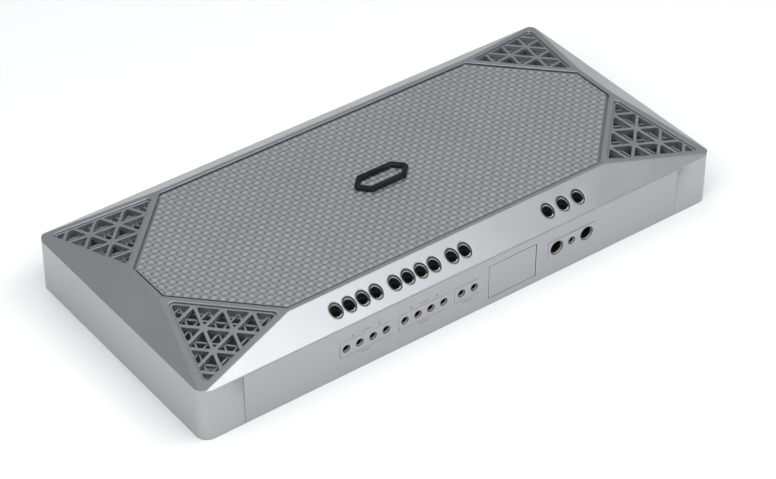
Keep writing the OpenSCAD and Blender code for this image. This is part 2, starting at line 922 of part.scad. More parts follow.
module clamp_screws() {
    head_y = transistor_face - clamp_t;
    slot = [3.4, 0.7];
    color(steel) both_sides()
        for (i = [1 : transistor_count - 1])
            difference() {
                union() {
                    rod_y(clamp_x(i), head_y - clamp_head_t, head_y, clamp_z, pan_head_r);
                    rod_y(clamp_x(i), head_y - eps, bar_y, clamp_z, screw_r);
                }
                slab(clamp_x(i), head_y - 3, head_y - 1, clamp_z, slot[1], slot[0]);
                slab(clamp_x(i), head_y - 3, head_y - 1, clamp_z, slot[0], slot[1]);
            }
}

// ---- sockets and controls ----
rca_block_back = 86;
rca_seat = 98;
pot_back = 84;
pot_face = 95;
stem_r = 2;
switch_front = 101.5;
switch_room = 97;
switch_body = [12.8, 18.6];          // width, and level of its top
pot_w = 8.4;
pot_top = 33.5;
stem_clear = 0.06;
rca_block_l = 46;
rca_block_top = 37.5;
rca_wall = 0.6;
rca_pin_r = 1.65;
rca_deep = 5;            // the insert lies this far inside the shell's mouth
slider_foot = [4.4, 3];
slider_grip = [3.4, 2.6];
slider_room = [5.2, 3.6];

function knob_xs() = [front_x + knob_spread, front_x - knob_spread, rear_x + knob_spread,
    rear_x - knob_spread, sub_x + knob_spread, sub_x - knob_spread, boost_x];

module rca_block() {
    mid = (rca_xs[0] + rca_xs[2]) / 2;
    color(plastic_black) difference() {
        slab(mid, rca_block_back, plate_back - 0.2, (board_top + rca_block_top) / 2,
            rca_block_l, rca_block_top - board_top);
        for (x = rca_xs)
            for (z = rca_zs)
                rod_y(x, rca_seat, plate_back + 1, z, rca_neck_r + hole_clear);
    }
}

module rca_shells() {
    color(nickel)
        for (x = rca_xs)
            for (z = rca_zs)
                difference() {
                    union() {
                        rod_y(x, rca_seat, half_w + rca_neck_out + eps, z, rca_neck_r);
                        rod_y(x, half_w + rca_neck_out, half_w + rca_out, z, rca_r);
                    }
                    rod_y(x, rca_seat - 1, half_w + rca_out + 1, z, rca_r - rca_wall);
                }
}

module rca_inserts() {
    color("white")
        for (x = rca_xs)
            for (z = rca_zs)
                difference() {
                    rod_y(x, rca_seat, half_w + rca_out - rca_deep, z, rca_r - rca_wall - 0.05);
                    rod_y(x, rca_seat + 2, half_w + rca_out, z, rca_pin_r);
                }
}

module pot_bodies() {
    color(plastic_black)
        for (x = knob_xs())
            difference() {
                slab(x, pot_back, pot_face, (board_top + pot_top) / 2, pot_w, pot_top - board_top);
                rod_y(x, pot_back + 4, pot_face + 1, knob_z, stem_r + stem_clear);
            }
}

// Cap flush with the plate, with a driver slot, on a stem that turns in the control's body
module knob(x) {
    slot_w = 1;
    color(plastic_black) difference() {
        union() {
            rod_y(x, pot_face + 0.6, half_w, knob_z, knob_r);
            rod_y(x, pot_back + 4.5, pot_face + 1, knob_z, stem_r);
        }
        slab(x, half_w - 1.2, half_w + 1, knob_z, slot_w, 2 * knob_r - 2.4);
        slab(x, half_w - 0.5, half_w + 1, knob_z + knob_r - 0.9, slot_w * 0.7, 1.4);
    }
}

module front_level_knob() {
    knob(front_x + knob_spread);
}

module front_crossover_knob() {
    knob(front_x - knob_spread);
}

module rear_level_knob() {
    knob(rear_x + knob_spread);
}

module rear_crossover_knob() {
    knob(rear_x - knob_spread);
}

module subwoofer_level_knob() {
    knob(sub_x + knob_spread);
}

module subwoofer_crossover_knob() {
    knob(sub_x - knob_spread);
}

module bass_boost_knob() {
    knob(boost_x);
}

module slide_switch_bodies() {
    color(steel)
        for (x = [front_x, rear_x, sub_x])
            difference() {
                slab(x, rca_block_back, switch_front, (board_top + switch_body[1]) / 2,
                    switch_body[0], switch_body[1] - board_top);
                slab(x, switch_room, switch_front + 1, slider_z,
                    2 * slider_travel + slider_room[0], slider_room[1]);
            }
}

module slider(x) {
    color(plastic_black) {
        slab(x, switch_room + gap, switch_front - gap, slider_z, slider_foot[0], slider_foot[1]);
        slab(x, switch_front - gap - 0.1, half_w, slider_z, slider_grip[0], slider_grip[1]);
    }
}

module front_filter_slider() {
    slider(front_x);
}

module rear_filter_slider() {
    slider(rear_x);
}

module input_mode_slider() {
    slider(sub_x);
}

module remote_socket() {
    top = 28;
    floor_y = 92;
    plug = [9.8, 7.4];
    latch = [4.4, 4];
    color(plastic_black) difference() {
        union() {
            slab(socket_x, rca_block_back, plate_back - 0.2, (board_top + top) / 2, 14.6, top - board_top);
            slab(socket_x, plate_back - 1, half_w - 0.2, socket_z, socket_face[0], socket_face[1]);
        }
        slab(socket_x, floor_y, half_w + 1, socket_z + 0.6, plug[0], plug[1]);
        slab(socket_x, floor_y, half_w + 1, socket_z - 4, latch[0], latch[1]);
    }
}

module status_lights() {
    color([0.9, 0.95, 1.0])
        for (z = [slider_z, knob_z]) {
            rod_y(light_x, 94, half_w + 0.2, z, light_r);
            rod_y(light_x, 98, plate_back, z, light_collar_r);
        }
}

housing();
top_panel();
badge();
grille_front_left();
grille_front_right();
grille_rear_left();
grille_rear_right();
terminal_plate();
control_plate();
base_plate();
insulating_sheet();
fuse_cover();
fuse_holder();
fuse_clips();
fuse_bodies();
fuse_blades();
front_speaker_block();
rear_speaker_block();
subwoofer_block();
power_block();
speaker_barrels();
power_barrels();
speaker_set_screws();
power_set_screws();
screw_bushes();
main_board();
board_spacers();
board_screws();
driver_board();
board_connector();
driver_chips();
transformer_cores();
transformer_windings();
rail_capacitors();
inductor_cores();
inductor_windings();
heat_bars();
heat_bar_screws();
power_transistors();
transistor_clamps();
clamp_screws();
rca_block();
rca_shells();
rca_inserts();
pot_bodies();
front_level_knob();
front_crossover_knob();
rear_level_knob();
rear_crossover_knob();
subwoofer_level_knob();
subwoofer_crossover_knob();
bass_boost_knob();
slide_switch_bodies();
front_filter_slider();
rear_filter_slider();
input_mode_slider();
remote_socket();
status_lights();
base_screws();
plate_screws();
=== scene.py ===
"""A five-channel car amplifier: a bevelled die-cast housing in satin silver, a woven-look top panel, four
corner grilles, and two flush wall plates with the wire terminals in front and the controls behind."""
import json
import math

import bmesh
import bpy
from mathutils import Matrix, Vector
from mathutils.bvhtree import BVHTree

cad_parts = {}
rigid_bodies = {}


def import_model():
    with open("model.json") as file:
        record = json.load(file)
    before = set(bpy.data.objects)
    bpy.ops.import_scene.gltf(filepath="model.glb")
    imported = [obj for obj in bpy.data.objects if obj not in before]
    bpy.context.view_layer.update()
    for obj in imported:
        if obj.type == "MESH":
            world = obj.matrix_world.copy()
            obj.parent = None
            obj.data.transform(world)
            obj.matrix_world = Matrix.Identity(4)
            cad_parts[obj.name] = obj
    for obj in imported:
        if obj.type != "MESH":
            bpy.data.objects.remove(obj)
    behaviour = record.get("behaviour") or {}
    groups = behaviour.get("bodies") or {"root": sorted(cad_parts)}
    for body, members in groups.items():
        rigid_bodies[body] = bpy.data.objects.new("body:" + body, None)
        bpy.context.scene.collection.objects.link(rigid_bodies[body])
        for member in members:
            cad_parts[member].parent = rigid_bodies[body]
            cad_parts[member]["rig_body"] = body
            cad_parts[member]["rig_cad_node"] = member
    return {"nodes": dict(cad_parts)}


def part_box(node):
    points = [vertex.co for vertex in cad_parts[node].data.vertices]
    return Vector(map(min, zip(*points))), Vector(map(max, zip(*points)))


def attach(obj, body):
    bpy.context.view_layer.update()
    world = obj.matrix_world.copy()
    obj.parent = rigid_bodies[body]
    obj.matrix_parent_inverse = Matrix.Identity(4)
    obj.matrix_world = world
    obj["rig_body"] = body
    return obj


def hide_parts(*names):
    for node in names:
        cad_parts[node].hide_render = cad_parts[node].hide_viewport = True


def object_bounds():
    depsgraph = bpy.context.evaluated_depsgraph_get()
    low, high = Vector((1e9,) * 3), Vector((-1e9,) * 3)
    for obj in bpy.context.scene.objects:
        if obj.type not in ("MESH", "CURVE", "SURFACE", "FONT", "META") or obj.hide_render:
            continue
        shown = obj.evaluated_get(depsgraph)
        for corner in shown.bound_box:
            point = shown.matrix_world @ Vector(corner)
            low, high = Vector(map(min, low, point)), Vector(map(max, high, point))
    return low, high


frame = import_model()
cad_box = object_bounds()
nodes = frame["nodes"]

# ---- Housing -------------------------------------------------------------------------------------------
# One aluminium die casting: upright walls, four bevels, four corner facets and the mounting wells.
# It is blasted, then sprayed with a satin silver paint whose flakes sparkle a little; paint rounds the edges.

MM = 0.001
SILVER = (0.47, 0.475, 0.49)
SILVER_SHADE = (0.40, 0.405, 0.42)
WORN_EDGE = (0.66, 0.665, 0.68)
DUST = (0.55, 0.54, 0.52)
RUB_STARTS, RUB_ENDS = 0.995, 0.90
DUST_STARTS, DUST_ENDS = 0.45, 0.75
RUBBED_SHARE = 0.6
MERGE = 0.02 * MM
SAME_PLANE = math.radians(0.3)
CREASE = math.radians(26)
BLUNT_TURNS = (20, 75)
UNDERSIDE = -0.5


def node_group(name, inputs, outputs):
    """An empty shader group with named sockets, and its input and output nodes."""
    group = bpy.data.node_groups.new(name, "ShaderNodeTree")
    for socket, kind, value in inputs:
        made = group.interface.new_socket(socket, in_out="INPUT", socket_type=kind)
        if value is not None:
            made.default_value = value
    for socket, kind in outputs:
        group.interface.new_socket(socket, in_out="OUTPUT", socket_type=kind)
    return group, group.nodes.new("NodeGroupInput"), group.nodes.new("NodeGroupOutput")


def add_node(tree, kind, links=(), **values):
    """A node with its settings made and its inputs joined to other nodes' outputs, or set to numbers."""
    made = tree.nodes.new(kind)
    for name, value in values.items():
        setattr(made, name, value)
    for socket, source in dict(links).items():
        if isinstance(source, bpy.types.NodeSocket):
            tree.links.new(source, made.inputs[socket])
        else:
            made.inputs[socket].default_value = source
    return made


def math_node(tree, operation, a, b=0.0):
    """The result of one operation on two sockets or numbers."""
    return add_node(tree, "ShaderNodeMath", {0: a, 1: b}, operation=operation).outputs[0]


def build_grain_group():
    """Fine grain and slow cloudiness at a stated size in metres, as masks from 0 to 1, and their height."""
    group, given, made = node_group(
        "surface_grain",
        [("Vector", "NodeSocketVector", None), ("Grain Size", "NodeSocketFloat", 0.5 * MM),
         ("Cloud Size", "NodeSocketFloat", 30 * MM)],
        [("Grain", "NodeSocketFloat"), ("Cloud", "NodeSocketFloat"), ("Height", "NodeSocketFloat")])
    grain_scale = math_node(group, "DIVIDE", 1.0, given.outputs["Grain Size"])
    cloud_scale = math_node(group, "DIVIDE", 1.0, given.outputs["Cloud Size"])
    grain = add_node(group, "ShaderNodeTexNoise",
                     {"Vector": given.outputs["Vector"], "Scale": grain_scale, "Detail": 2.0})
    cloud = add_node(group, "ShaderNodeTexNoise",
                     {"Vector": given.outputs["Vector"], "Scale": cloud_scale, "Detail": 4.0,
                      "Roughness": 0.6})
    ripple = math_node(group, "MULTIPLY", cloud.outputs["Fac"], 0.3)
    height = math_node(group, "ADD", grain.outputs["Fac"], ripple)
    for socket, source in (("Grain", grain.outputs["Fac"]), ("Cloud", cloud.outputs["Fac"]),
                           ("Height", height)):
        group.links.new(source, made.inputs[socket])
    return group


def build_wear_group():
    """Where an edge is rubbed, and where dust lies: masks from 0 to 1."""
    group, given, made = node_group(
        "edge_and_dust",
        [("Vector", "NodeSocketVector", None), ("Edge Radius", "NodeSocketFloat", 0.6 * MM),
         ("Dust Size", "NodeSocketFloat", 12 * MM)],
        [("Edge", "NodeSocketFloat"), ("Dust", "NodeSocketFloat")])
    surface = add_node(group, "ShaderNodeNewGeometry")
    softened = add_node(group, "ShaderNodeBevel", {"Radius": given.outputs["Edge Radius"]}, samples=4)
    likeness = add_node(group, "ShaderNodeVectorMath",
                        {0: surface.outputs["Normal"], 1: softened.outputs["Normal"]},
                        operation="DOT_PRODUCT").outputs["Value"]
    edge = add_node(group, "ShaderNodeMapRange",
                    {"Value": likeness, "From Min": RUB_STARTS, "From Max": RUB_ENDS})
    lie = add_node(group, "ShaderNodeSeparateXYZ", {0: surface.outputs["Normal"]})
    upward = math_node(group, "MAXIMUM", lie.outputs["Z"], 0.0)
    dust_scale = math_node(group, "DIVIDE", 1.0, given.outputs["Dust Size"])
    patches = add_node(group, "ShaderNodeTexNoise",
                       {"Vector": given.outputs["Vector"], "Scale": dust_scale, "Detail": 8.0,
                        "Roughness": 0.75})
    patchy = add_node(group, "ShaderNodeMapRange",
                      {"Value": patches.outputs["Fac"], "From Min": DUST_STARTS, "From Max": DUST_ENDS})
    dust = math_node(group, "MULTIPLY", upward, patchy.outputs[0])
    group.links.new(edge.outputs[0], made.inputs["Edge"])
    group.links.new(dust, made.inputs["Dust"])
    return group


GRAIN = build_grain_group()
WEAR = build_wear_group()


def use_group(tree, group, **values):
    """A shader group in a tree, with its inputs joined or set by name, underscores standing for spaces."""
    made = tree.nodes.new("ShaderNodeGroup")
    made.node_tree = group
    for name, value in values.items():
        socket = made.inputs[name.replace("_", " ")]
        if isinstance(value, bpy.types.NodeSocket):
            tree.links.new(value, socket)
        else:
            socket.default_value = value
    return made


def mix_colour(tree, factor, first, second):
    """A colour between two, each a socket or an RGB triple."""
    made = tree.nodes.new("ShaderNodeMix")
    made.data_type = "RGBA"
    tree.links.new(factor, made.inputs["Factor"])
    for socket, source in ((made.inputs[6], first), (made.inputs[7], second)):
        if isinstance(source, bpy.types.NodeSocket):
            tree.links.new(source, socket)
        else:
            socket.default_value = (*source, 1.0)
    return made.outputs[2]


def start_material(name, metallic, **shader_values):
    """A Principled material and the Object coordinates that its patterns read."""
    material = bpy.data.materials.new(name)
    material.use_nodes = True
    tree = material.node_tree
    tree.nodes.clear()
    output = tree.nodes.new("ShaderNodeOutputMaterial")
    shader = tree.nodes.new("ShaderNodeBsdfPrincipled")
    tree.links.new(shader.outputs["BSDF"], output.inputs["Surface"])
    shader.inputs["Metallic"].default_value = metallic
    for socket, value in shader_values.items():
        shader.inputs[socket.replace("_", " ")].default_value = value
    place = tree.nodes.new("ShaderNodeTexCoord").outputs["Object"]
    return material, tree, shader, place


def vary_roughness(tree, shader, mask, low, high):
    """Roughness from low to high, by a mask from 0 to 1."""
    varied = add_node(tree, "ShaderNodeMapRange", {"Value": mask, "To Min": low, "To Max": high})
    tree.links.new(varied.outputs[0], shader.inputs["Roughness"])


def join_bump(tree, shader, height, depth, normal=None):
    """Raises the surface by height times depth, in metres."""
    bump = add_node(tree, "ShaderNodeBump", {"Height": height, "Strength": 1.0, "Distance": depth})
    if normal is not None:
        tree.links.new(normal, bump.inputs["Normal"])
    tree.links.new(bump.outputs["Normal"], shader.inputs["Normal"])


def surface_finish(name, light, dark, metallic, roughness, grain_size, grain_depth, spread=0.08, edge=None,
                   dust=0.0, cloud_size=25 * MM, soft_edge=0.0, **shader_values):
    """A finish with grain, clouds, rubbed edges and a little dust, each at its real size.
    A soft_edge radius makes the coat look thick and rounded over every edge."""
    material, tree, shader, place = start_material(name, metallic, **shader_values)
    grain = use_group(tree, GRAIN, Vector=place, Grain_Size=grain_size, Cloud_Size=cloud_size)
    wear = use_group(tree, WEAR, Vector=place)
    both = math_node(tree, "ADD", grain.outputs["Grain"], grain.outputs["Cloud"])
    shade = math_node(tree, "MULTIPLY", both, 0.5)
    colour = mix_colour(tree, shade, dark, light)
    if edge is not None:
        rubbed = math_node(tree, "MULTIPLY", wear.outputs["Edge"], RUBBED_SHARE)
        colour = mix_colour(tree, rubbed, colour, edge)
    dusty = math_node(tree, "MULTIPLY", wear.outputs["Dust"], dust)
    colour = mix_colour(tree, dusty, colour, DUST)
    tree.links.new(colour, shader.inputs["Base Color"])
    rough = add_node(tree, "ShaderNodeMapRange",
                     {"Value": grain.outputs["Cloud"], "From Min": 0.3, "From Max": 0.7,
                      "To Min": roughness - spread / 2, "To Max": roughness + spread / 2}).outputs[0]
    tree.links.new(math_node(tree, "ADD", rough, math_node(tree, "MULTIPLY", dusty, 0.5)),
                   shader.inputs["Roughness"])
    coat = None
    if soft_edge > 0:
        coat = add_node(tree, "ShaderNodeBevel", {"Radius": soft_edge}, samples=6).outputs["Normal"]
    join_bump(tree, shader, grain.outputs["Height"], grain_depth, coat)
    return material


def exposed(edge, tree, reach):
    """Whether open air lies outside an edge, so that nothing of the same piece stands over it."""
    middle = (edge.verts[0].co + edge.verts[1].co) / 2
    outward = (edge.link_faces[0].normal + edge.link_faces[1].normal).normalized()
    hit = tree.ray_cast(middle + outward * reach, outward)
    return hit[0] is None


def own_copy(node, name):
    """A free copy of a CAD node, to be worked into the visible piece that replaces it."""
    copy = nodes[node].copy()
    copy.data = nodes[node].data.copy()
    copy.name = name
    copy.data.name = name
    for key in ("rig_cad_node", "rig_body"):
        del copy[key]
    copy.parent = None
    bpy.context.scene.collection.objects.link(copy)
    return copy


def settled(piece):
    """Turns a piece with modifiers into a plain mesh in place."""
    bpy.context.view_layer.update()
    found = piece.evaluated_get(bpy.context.evaluated_depsgraph_get())
    mesh = bpy.data.meshes.new_from_object(found)
    piece.modifiers.clear()
    piece.data = mesh
    mesh.name = piece.name
    return piece


def rounded_copy(node, name, width, soft=0.0, least_face=40, least_turn=8, segments=2, lowest=1.0):
    """A copy of a CAD node whose outer edges are rounded, for a painted or moulded piece.
    Only edges beside a face of least_face square millimetres or more, above lowest millimetres, count.
    Blunt edges between two such faces, where bevels meet walls, take the soft width instead."""
    copy = own_copy(node, name)
    mesh = bmesh.new()
    mesh.from_mesh(copy.data)
    bmesh.ops.remove_doubles(mesh, verts=mesh.verts, dist=MERGE)
    bmesh.ops.dissolve_limit(mesh, angle_limit=SAME_PLANE, verts=mesh.verts, edges=mesh.edges)
    mesh.normal_update()
    weight = mesh.edges.layers.float.new("bevel_weight_edge")
    widest = max(width, soft)
    tree = BVHTree.FromBMesh(mesh)
    for edge in mesh.edges:
        if len(edge.link_faces) != 2:
            continue
        turn = math.degrees(edge.calc_face_angle_signed(0.0))
        smaller, larger = sorted(face.calc_area() / MM ** 2 for face in edge.link_faces)
        high = min(vertex.co.z for vertex in edge.verts) > lowest * MM
        upright = min(face.normal.z for face in edge.link_faces) > UNDERSIDE
        seen = high and upright and exposed(edge, tree, MERGE)
        if turn > least_turn and larger > least_face and seen:
            blunt = smaller > least_face and BLUNT_TURNS[0] < turn < BLUNT_TURNS[1]
            edge[weight] = 1.0 if blunt else width / widest
    mesh.to_mesh(copy.data)
    mesh.free()
    copy.data.shade_smooth()
    copy.data.set_sharp_from_angle(angle=CREASE)
    bevel = copy.modifiers.new("painted_edges", "BEVEL")
    bevel.limit_method = "WEIGHT"
    bevel.width = widest
    bevel.segments = segments
    bevel.use_clamp_overlap = True
    flat = copy.modifiers.new("flat_faces", "WEIGHTED_NORMAL")
    flat.keep_sharp = True
    return settled(copy)


def dress(piece, material):
    """Gives a piece one material."""
    piece.data.materials.clear()
    piece.data.materials.append(material)


def paint_material(name, light, dark, soft_edge):
    """The satin silver paint of the casting and plates, thick enough to round every edge by soft_edge."""
    return surface_finish(name, light, dark, metallic=0.88, roughness=0.37, grain_size=0.7 * MM,
                          grain_depth=0.012 * MM, spread=0.06, edge=WORN_EDGE, dust=0.10,
                          cloud_size=40 * MM, soft_edge=soft_edge)


casting_paint = paint_material("casting_paint", SILVER, SILVER_SHADE, 1.3 * MM)
housing = rounded_copy("housing", "housing_casting", 0.5 * MM, soft=1.6 * MM, segments=3, lowest=8.0)
dress(housing, casting_paint)
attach(housing, "amplifier")
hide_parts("housing")

# ---- Top panel -----------------------------------------------------------------------------------------
# A thin aluminium plate lies in a pocket of the housing. It is pressed with a plain weave: strands about
# 4.4 mm wide pass over and under each other over its whole face. Satin paint, darker than the casting, with
# painted shade in the valleys of the weave and painted shadow on its sides in the seam groove.

STRAND_X = 4.393 * MM
STRAND_Y = 4.45 * MM
CROWN = 0.62 * MM
LIFT = 0.34 * MM
FAVOUR = 0.10 * MM
SAMPLES_PER_STRAND = 5
PANEL_LIGHT = (0.67, 0.675, 0.69)
PANEL_DARK = (0.54, 0.545, 0.56)
# Painted shade for the valleys of the weave.
PANEL_VALLEY_SHADE = (0.16, 0.165, 0.175)
PLATE_CREASE = math.radians(50)
# Painted shadow: below the weave the panel's side walls fade to near-black in the seam groove.
SIDE_SHADOW_BELOW = 0.2 * MM
SIDE_SHADOW_FADE = 0.1 * MM
PAINTED_GAP_SHADOW = (0.03, 0.03, 0.032)


def depth_below(tree, place, point, outward):
    """How deep a spot lies below the plane through point, in metres."""
    offset = add_node(tree, "ShaderNodeVectorMath", {0: place, 1: tuple(point)},
                      operation="SUBTRACT").outputs["Vector"]
    height = add_node(tree, "ShaderNodeVectorMath", {0: offset, 1: tuple(outward)},
                      operation="DOT_PRODUCT").outputs["Value"]
    return math_node(tree, "MULTIPLY", height, -1.0)


def shaded_below(material, point, outward, first, last, colour):
    """Fades a finish to another colour between two depths below a plane: painted shade or shadow inside a gap
    or hollow.
    """
    tree = material.node_tree
    shader = tree.nodes["Principled BSDF"]
    place = add_node(tree, "ShaderNodeTexCoord").outputs["Object"]
    fade = add_node(tree, "ShaderNodeMapRange", {"Value": depth_below(tree, place, point, outward),
                                                 "From Min": first, "From Max": last}).outputs[0]
    paint = shader.inputs["Base Color"].links[0].from_socket
    tree.links.new(mix_colour(tree, fade, paint, colour), shader.inputs["Base Color"])


def geometry_tree(name, inputs):
    """A Geometry Nodes tree with named inputs, and its input node, output node and input identifiers."""
    tree = bpy.data.node_groups.new(name, "GeometryNodeTree")
    sockets = {}
    tree.interface.new_socket("Geometry", in_out="INPUT", socket_type="NodeSocketGeometry")
    for socket, kind in inputs:
        sockets[socket] = tree.interface.new_socket(socket, in_out="INPUT", socket_type=kind).identifier
    tree.interface.new_socket("Geometry", in_out="OUTPUT", socket_type="NodeSocketGeometry")
    return tree, tree.nodes.new("NodeGroupInput"), tree.nodes.new("NodeGroupOutput"), sockets


def grown(name, tree, sockets, values, start=None):
    """The plain mesh that a Geometry Nodes tree makes on an object, with its inputs set by identifier."""
    piece = bpy.data.objects.new(name, start or bpy.data.meshes.new(name))
    bpy.context.scene.collection.objects.link(piece)
    modifier = piece.modifiers.new(name, "NODES")
    modifier.node_group = tree
    for socket, value in values.items():
        modifier[sockets[socket]] = value
    return settled(piece)


def build_weave_tree():
    """A flat grid whose points rise to the upper of two crossing strands, everywhere. Crown is a strand's
    arch, Lift its rise over a crossing, and Favour how far the strands along X stand above the others."""
    tree, given, made, sockets = geometry_tree("pressed_weave", [
        ("Length", "NodeSocketFloat"), ("Width", "NodeSocketFloat"),
        ("Points Along", "NodeSocketInt"), ("Points Across", "NodeSocketInt"),
        ("Strand X", "NodeSocketFloat"), ("Strand Y", "NodeSocketFloat"),
        ("Crown", "NodeSocketFloat"), ("Lift", "NodeSocketFloat"), ("Favour", "NodeSocketFloat"),
        ("Base Height", "NodeSocketFloat"),
        ("Material", "NodeSocketMaterial")])
    grid = add_node(tree, "GeometryNodeMeshGrid", {
        "Size X": given.outputs["Length"], "Size Y": given.outputs["Width"],
        "Vertices X": given.outputs["Points Along"], "Vertices Y": given.outputs["Points Across"]})
    place = add_node(tree, "ShaderNodeSeparateXYZ",
                     {0: add_node(tree, "GeometryNodeInputPosition").outputs["Position"]})
    u = math_node(tree, "DIVIDE", place.outputs["X"], given.outputs["Strand X"])
    v = math_node(tree, "DIVIDE", place.outputs["Y"], given.outputs["Strand Y"])
    column = math_node(tree, "ROUND", u)
    row = math_node(tree, "ROUND", v)
    across_column = math_node(tree, "SUBTRACT", u, column)
    across_row = math_node(tree, "SUBTRACT", v, row)
    odd = math_node(tree, "PINGPONG", math_node(tree, "ADD", column, row), 1.0)
    over = math_node(tree, "SUBTRACT", 1.0, math_node(tree, "MULTIPLY", odd, 2.0))

    def strand(across, along, sign):
        """Height of a strand from the distances across and along it, in strand widths."""
        square = math_node(tree, "MULTIPLY", across, across)
        arch = math_node(tree, "SUBTRACT", 1.0, math_node(tree, "MULTIPLY", square, 4.0))
        swing = math_node(tree, "COSINE", math_node(tree, "MULTIPLY", along, math.pi))
        swing = math_node(tree, "MULTIPLY", math_node(tree, "MULTIPLY", swing, over), sign)
        body = math_node(tree, "MULTIPLY", arch, given.outputs["Crown"])
        wave = math_node(tree, "MULTIPLY", swing, given.outputs["Lift"])
        favour = math_node(tree, "MULTIPLY", given.outputs["Favour"], sign)
        return math_node(tree, "ADD", math_node(tree, "ADD", body, wave), favour)

    upper = math_node(tree, "MAXIMUM", strand(across_row, across_column, 1.0),
                      strand(across_column, across_row, -1.0))
    height = math_node(tree, "ADD", upper, given.outputs["Base Height"])
    raised = add_node(tree, "ShaderNodeCombineXYZ",
                      {"X": place.outputs["X"], "Y": place.outputs["Y"], "Z": height})
    shaped = add_node(tree, "GeometryNodeSetPosition",
                      {"Geometry": grid.outputs["Mesh"], "Position": raised.outputs["Vector"]})
    real = add_node(tree, "GeometryNodeRealizeInstances", {"Geometry": shaped.outputs["Geometry"]})
    named = add_node(tree, "GeometryNodeSetMaterial", {"Geometry": real.outputs["Geometry"],
                                                      "Material": given.outputs["Material"]})
    tree.links.new(named.outputs["Geometry"], made.inputs["Geometry"])
    return tree, sockets


def octagon_reach(node):
    """Half length, half width and half diagonal reach (x + y) of an octagonal CAD plate."""
    corners = [vertex.co for vertex in nodes[node].data.vertices]
    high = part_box(node)[1]
    return high.x, high.y, max(abs(corner.x) + abs(corner.y) for corner in corners)


def trim_to_octagon(piece, half_x, half_y, diagonal, bottom):
    """Cuts a woven sheet to the plate's outline, then gives it edges down to the bottom and a back."""
    mesh = bmesh.new()
    mesh.from_mesh(piece.data)
    sides = [(Vector((sx, 0, 0)), half_x) for sx in (-1, 1)]
    sides += [(Vector((0, sy, 0)), half_y) for sy in (-1, 1)]
    sides += [(Vector((sx, sy, 0)).normalized(), diagonal / math.sqrt(2)) for sx in (-1, 1) for sy in (-1, 1)]
    for normal, distance in sides:
        everything = mesh.verts[:] + mesh.edges[:] + mesh.faces[:]
        bmesh.ops.bisect_plane(mesh, geom=everything, dist=1e-7, plane_co=normal * distance,
                               plane_no=normal, clear_outer=True)
    rim = [edge for edge in mesh.edges if edge.is_boundary]
    dropped = bmesh.ops.extrude_edge_only(mesh, edges=rim)["geom"]
    for vertex in dropped:
        if isinstance(vertex, bmesh.types.BMVert):
            vertex.co.z = bottom
    back = [edge for edge in dropped if isinstance(edge, bmesh.types.BMEdge) and edge.is_boundary]
    bmesh.ops.contextual_create(mesh, geom=back)
    bmesh.ops.recalc_face_normals(mesh, faces=mesh.faces)
    for face in mesh.faces:
        face.smooth = True
    mesh.to_mesh(piece.data)
    mesh.free()
    piece.data.set_sharp_from_angle(angle=PLATE_CREASE)


def panel_material(top, depth):
    """Satin paint with painted shade darkening the valleys of the weave, down to depth below top, and a
    painted near-black shadow on the sides below.
    """
    material = surface_finish("panel_paint", PANEL_LIGHT, PANEL_DARK, metallic=0.80, roughness=0.36,
                              grain_size=0.5 * MM, grain_depth=0.012 * MM, spread=0.08,
                              dust=0.12, cloud_size=60 * MM)
    face = Vector((0.0, 0.0, top))
    up = Vector((0.0, 0.0, 1.0))
    # Painted shade: the paint darkens towards the valleys of the weave.
    shaded_below(material, face, up, 0.0, depth, PANEL_VALLEY_SHADE)
    # Painted shadow: the panel's sides below the weave fade to near-black.
    shaded_below(material, face, up, depth + SIDE_SHADOW_BELOW, depth + SIDE_SHADOW_BELOW + SIDE_SHADOW_FADE, PAINTED_GAP_SHADOW)
    return material


weave_tree, weave_sockets = build_weave_tree()
panel_x, panel_y, panel_diagonal = octagon_reach("top_panel")
panel_low, panel_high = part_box("top_panel")
panel_paint = panel_material(panel_high.z, CROWN + LIFT)
columns = 2 * math.ceil(panel_x / STRAND_X)
rows = 2 * math.ceil(panel_y / STRAND_Y)
panel = grown("woven_panel", weave_tree, weave_sockets, {
    "Length": columns * STRAND_X, "Width": rows * STRAND_Y,
    "Points Along": columns * SAMPLES_PER_STRAND + 1, "Points Across": rows * SAMPLES_PER_STRAND + 1,
    "Strand X": STRAND_X, "Strand Y": STRAND_Y, "Crown": CROWN, "Lift": LIFT, "Favour": FAVOUR,
    "Base Height": panel_high.z - CROWN - LIFT - FAVOUR, "Material": panel_paint})
trim_to_octagon(panel, panel_x, panel_y, panel_diagonal, panel_low.z)
dress(panel, panel_paint)
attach(panel, "amplifier")
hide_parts("top_panel")

# ---- Badge ---------------------------------------------------------------------------------------------
# A plain moulded ring with cut corners is stuck to the middle of the panel. Polished black plastic with
# soft edges, which mirrors the studio lights.

BADGE_BLACK = (0.008, 0.008, 0.010)
badge_gloss = surface_finish("badge_gloss", BADGE_BLACK, (0.004, 0.004, 0.005), metallic=0.0, roughness=0.09,
                             grain_size=6 * MM, grain_depth=0.01 * MM, spread=0.05, dust=0.02,
                             Specular_IOR_Level=0.22)
badge = rounded_copy("badge", "badge_ring", 1.1 * MM, least_face=10, segments=4)
dress(badge, badge_gloss)
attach(badge, "amplifier")
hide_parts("badge")

# ---- Corner grilles ------------------------------------------------------------------------------------
# Four press-in die castings cover the mounting wells: coarse triangular ribs above, a fine lattice below.
# Painted a satin grey, darker than the housing; paint has rounded every rib.

GRILLE_LIGHT = (0.34, 0.345, 0.36)
GRILLE_DARK = (0.26, 0.265, 0.28)
grille_paint = surface_finish("grille_paint", GRILLE_LIGHT, GRILLE_DARK, metallic=0.75, roughness=0.42,
                              grain_size=0.6 * MM, grain_depth=0.02 * MM, edge=(0.62, 0.625, 0.64), dust=0.12,
                              soft_edge=0.5 * MM)
for place in ("front_left", "front_right", "rear_left", "rear_right"):
    dress(nodes[f"grille_{place}"], grille_paint)
